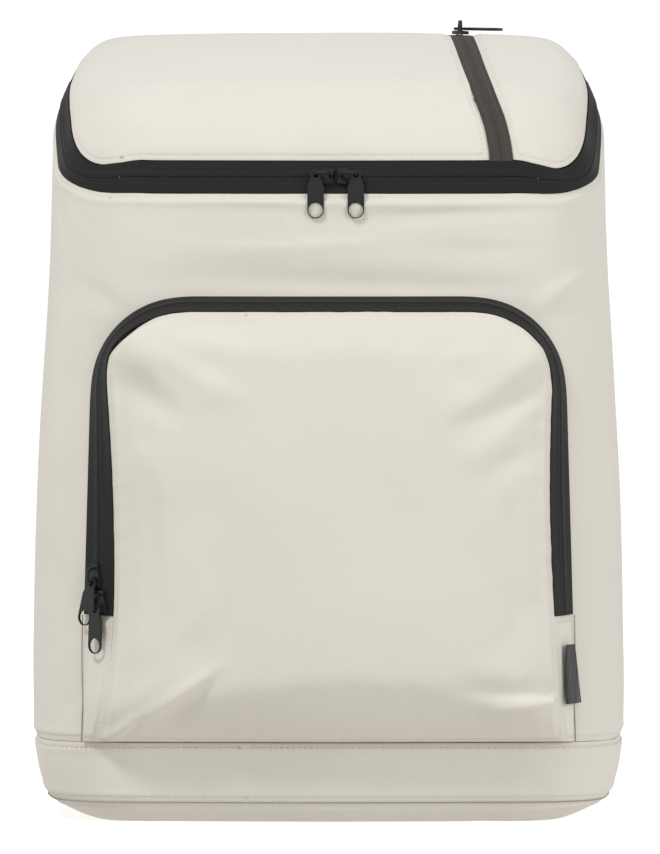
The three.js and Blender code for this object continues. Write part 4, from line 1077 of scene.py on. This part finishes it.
class BACKPACK_OT_carrying(bpy.types.Operator):
    """Pad the shoulder straps and weave the webbing"""

    bl_idname = "backpack.carrying"
    bl_label = "Carrying straps"

    def execute(self, context):
        for side in ("right", "left"):
            self.pad("shoulder_strap_" + side, "strap_pad_" + side)
            self.band("strap_tab_" + side)
            self.band("lower_webbing_" + side)
            self.patch("webbing_anchor_" + side, MATERIALS["webbing"], "webbing_black")
        self.patch("strap_yoke", MATERIALS["fabric"], "fabric_cream")
        self.band("haul_loop")
        self.tag()
        return {"FINISHED"}

    def pad(self, node, name):
        piece = copy_of(node, name)
        apply(piece, "REMESH", mode="VOXEL", voxel_size=4.5 * MM)
        rest = points_of(piece)
        way = normals_of(piece)
        set_points(piece, rest - way * 1.2 * MM)
        self.swell(piece)
        smooth_levels(piece, 1)
        edge_fields(piece, [self.outline(piece)])
        weave_map(piece)
        select_only(piece)
        bpy.ops.object.shade_smooth()
        finish_piece(piece, [node], MATERIALS["fabric"])

    def outline(self, piece):
        """The lowest and the highest point, in place of a seam, which the pad doesn't have."""
        co = points_of(piece)
        return [int(np.argmin(co[:, 2])), int(np.argmax(co[:, 2]))]

    def swell(self, piece):
        rest = points_of(piece)
        move = simulate(piece, 4, quality=4)
        size = np.linalg.norm(move, axis=1, keepdims=True)
        cap = 2.0 * MM
        set_points(piece, rest + move * cap * np.tanh(size / cap) / np.maximum(size, TINY))

    def band(self, node):
        piece = copy_of(node, node + "_woven")
        apply(piece, "BEVEL", width=0.45 * MM, segments=2, angle_limit=math.radians(60))
        self.finish_web(piece, node, MATERIALS["webbing"], "webbing_black")

    def tag(self):
        """The black tag, laid over the seam of the pocket's right strip."""
        piece = copy_of("side_tag", "side_tag_sewn")
        with editing(piece):
            bpy.ops.mesh.subdivide(number_cuts=4)
        co = points_of(piece)
        front = normals_of(piece)[:, 1] < 0
        left = co[:, 0].min()
        co[:, 0] = left - 5.6 * MM + (co[:, 0] - left) * 1.3
        under = [tree_of(bpy.data.objects[name])
                 for name in ("pocket_strip_right", "body_front_and_sides", "pocket_front")]
        for p, outer in zip(co, front):
            hits = [tree.ray_cast(Vector((p[0] + side * MM, -1, p[2])), Vector((0, 1, 0)))[0]
                    for tree in under for side in (-3, -1.5, 0, 1.5)]
            p[1] = min(hit.y for hit in hits if hit) - (1.9 if outer else 0.7) * MM
        set_points(piece, co)
        self.finish_web(piece, "side_tag", MATERIALS["webbing"], "webbing_black")

    def patch(self, node, material, slot):
        piece = copy_of(node, node + "_sewn")
        apply(piece, "BEVEL", width=0.7 * MM, segments=3, angle_limit=math.radians(40))
        self.finish_web(piece, node, material, slot)

    def finish_web(self, piece, node, material, slot):
        weave_map(piece)
        piece.data.uv_layers[0].name = "weave" if slot == "fabric_cream" else "tape"
        soften(piece, 40)
        finish_piece(piece, [node], material)


class BACKPACK_OT_stitching(bpy.types.Operator):
    """Sew the visible rows of stitches"""

    bl_idname = "backpack.stitching"
    bl_label = "Stitching"

    def execute(self, context):
        fabric = context.scene.backpack_fabric
        band = bpy.data.objects["body_base_band"]
        co = points_of(band)
        rows = []
        shell = skin("base_band", "rail", (0, -1, 0))
        rail_points = points_of(shell)
        loops = [spline(rail_points[loop], 10, closed=True) for loop in loops_of(shell)]
        bpy.data.objects.remove(shell)
        top = max(loops, key=lambda loop: loop[:, 2].mean())
        top = resample(np.concatenate([top, top[:1]]), 1400)
        rows.append(top - np.array([0, 0, fabric.margin]))
        self.sew("stitches_base_seam", rows, tree_of(band))
        low = min(loops, key=lambda loop: loop[:, 2].mean())
        self.line("seam_line_base", [resample(np.concatenate([low, low[:1]]), 500)])
        sides = []
        for side, outer in (("left", min), ("right", max)):
            rails = rails_of("pocket_gusset_" + side, (0.7 if side == "right" else -0.7, -0.7, 0))
            rail = outer(rails, key=lambda rail: rail[:, 0].mean())
            sides.append(resample(spline(rail, 8), 90))
        self.line("seam_line_pocket", sides)
        return {"FINISHED"}

    def line(self, name, rows):
        """Painted shade in the gap of a seam: thin dark cords laid in it."""
        fabric = bpy.context.scene.backpack_fabric
        mesh = bmesh.new()
        for row in rows:
            away = (row - row.mean(0)) * (1, 1, 0)
            away /= np.linalg.norm(away, axis=1, keepdims=True)
            row = row - away * 2 * fabric.gap
            self.bar(mesh, [(Vector(p), Vector(n)) for p, n in zip(row, away)], fabric.gap)
        data = bpy.data.meshes.new(name)
        mesh.to_mesh(data)
        mesh.free()
        data.shade_smooth()
        finish_piece(new_piece(name, data), [], MATERIALS["seam"])

    def sew(self, name, rows, tree):
        """Rows of short thread bars that lie on the cloth."""
        fabric = bpy.context.scene.backpack_fabric
        mesh = bmesh.new()
        for row in rows:
            at = lengths_along(row)
            places = np.arange(fabric.stitch / 2, at[-1] - fabric.stitch, fabric.stitch)
            for place in places:
                ends = []
                for shift in (-0.34, -0.2, 0.0, 0.2, 0.34):
                    s = place + shift * fabric.stitch
                    p = Vector([np.interp(s, at, row[:, i]) for i in range(3)])
                    found, normal, _, _ = tree.find_nearest(p)
                    lift = fabric.thread * (0.75 - 4.6 * abs(shift) ** 2 * 2)
                    ends.append((found + normal * lift, normal))
                self.bar(mesh, ends, fabric.thread)
        data = bpy.data.meshes.new(name)
        mesh.to_mesh(data)
        mesh.free()
        piece = new_piece(name, data)
        data.shade_smooth()
        finish_piece(piece, [], MATERIALS["thread"])

    def bar(self, mesh, ends, radius):
        rings = []
        for k, (p, normal) in enumerate(ends):
            a = ends[max(k - 1, 0)][0]
            b = ends[min(k + 1, len(ends) - 1)][0]
            along = (b - a).normalized()
            side = along.cross(normal).normalized()
            up = side.cross(along)
            size = radius * (0.55 if k in (0, len(ends) - 1) else 1.0)
            rings.append([
                mesh.verts.new(p + side * math.cos(t) * size + up * math.sin(t) * size)
                for t in np.linspace(0, 2 * math.pi, 6, endpoint=False)])
        for lower, upper in zip(rings, rings[1:]):
            for i in range(6):
                j = (i + 1) % 6
                mesh.faces.new((lower[i], lower[j], upper[j], upper[i]))
        mesh.faces.new(rings[0][::-1])
        mesh.faces.new(rings[-1])


class BACKPACK_OT_stage(bpy.types.Operator):
    """Set the floor, the lights and the camera"""

    bl_idname = "backpack.stage"
    bl_label = "Stage"

    def execute(self, context):
        stage = context.scene.backpack_stage
        s = Shader("stage_white")
        tone = s.noise(3.0, 2.0)
        s.set(Base_Color=s.mix(tone, (0.93, 0.93, 0.93, 1.0), (0.95, 0.95, 0.95, 1.0)),
              Roughness=0.9, Emission_Color=(1.0, 1.0, 1.0, 1.0), Emission_Strength=0.5)
        mesh = bpy.data.meshes.new("stage_floor")
        reach = 3 * stage.distance
        corners = [(-reach, -reach, 0), (reach, -reach, 0), (reach, reach, 0), (-reach, reach, 0)]
        mesh.from_pydata(corners, [], [(0, 1, 2, 3)])
        floor = new_piece("stage_floor", mesh)
        floor.data.materials.append(s.material)
        floor.visible_diffuse = False

        self.sky(context)
        context.scene.view_settings.view_transform = "Standard"
        for name, lamp in LAMPS.items():
            self.light(name, *lamp)

        data = bpy.data.cameras.new("camera")
        data.lens = data.sensor_width * stage.distance / stage.field
        data.clip_start = 0.05
        data.clip_end = 5 * stage.distance
        camera = bpy.data.objects.new("camera", data)
        context.scene.collection.objects.link(camera)
        away = Vector((0, -math.cos(stage.elevation), math.sin(stage.elevation)))
        middle = Vector((stage.across, stage.front, stage.height))
        camera.location = middle + away * stage.distance
        camera.rotation_euler = (-away).to_track_quat("-Z", "Y").to_euler()
        context.scene.camera = camera
        return {"FINISHED"}

    def sky(self, context):
        """A studio with cool light from above and warm light thrown up from the floor."""
        world = bpy.data.worlds.new("Studio")
        world.use_nodes = True
        tree = world.node_tree
        place = tree.nodes.new("ShaderNodeTexCoord")
        split = tree.nodes.new("ShaderNodeSeparateXYZ")
        ramp = tree.nodes.new("ShaderNodeValToRGB")
        tree.links.new(place.outputs["Generated"], split.inputs[0])
        tree.links.new(split.outputs["Z"], ramp.inputs[0])
        ramp.color_ramp.elements[0].color = SKY_BELOW
        ramp.color_ramp.elements[1].position = 0.35
        ramp.color_ramp.elements[1].color = SKY_ABOVE
        tree.links.new(ramp.outputs[0], tree.nodes["Background"].inputs[0])
        context.scene.world = world

    def light(self, name, place, target, size, power):
        data = bpy.data.lights.new(name, "AREA")
        data.shape = "DISK"
        data.size = size
        data.energy = power
        lamp = bpy.data.objects.new(name, data)
        bpy.context.scene.collection.objects.link(lamp)
        lamp.location = place
        lamp.rotation_euler = (Vector(target) - Vector(place)).to_track_quat("-Z", "Y").to_euler()


class BACKPACK_PT_panel(bpy.types.Panel):
    """Buttons for the backpack's pieces"""

    bl_idname = "BACKPACK_PT_panel"
    bl_label = "Cooler backpack"
    bl_space_type = "VIEW_3D"
    bl_region_type = "UI"
    bl_category = "Cooler backpack"

    def draw(self, context):
        for operator in OPERATORS:
            self.layout.operator(operator.bl_idname)


OPERATORS = [
    BACKPACK_OT_stage,
    BACKPACK_OT_body,
    BACKPACK_OT_lid,
    BACKPACK_OT_pocket,
    BACKPACK_OT_zips,
    BACKPACK_OT_hardware,
    BACKPACK_OT_carrying,
    BACKPACK_OT_stitching,
]
SETTINGS = {
    "backpack_fabric": FabricSettings,
    "backpack_zips": ZipSettings,
    "backpack_stage": StageSettings,
}


def register():
    for cls in [*SETTINGS.values(), *OPERATORS, BACKPACK_PT_panel]:
        bpy.utils.register_class(cls)
    for name, cls in SETTINGS.items():
        setattr(bpy.types.Scene, name, bpy.props.PointerProperty(type=cls))


def unregister():
    for name in SETTINGS:
        delattr(bpy.types.Scene, name)
    for cls in [*SETTINGS.values(), *OPERATORS, BACKPACK_PT_panel]:
        bpy.utils.unregister_class(cls)


def main():
    register()
    make_materials()
    for operator in OPERATORS:
        getattr(bpy.ops.backpack, operator.bl_idname.partition(".")[2])()


if __name__ == "__main__":
    main()
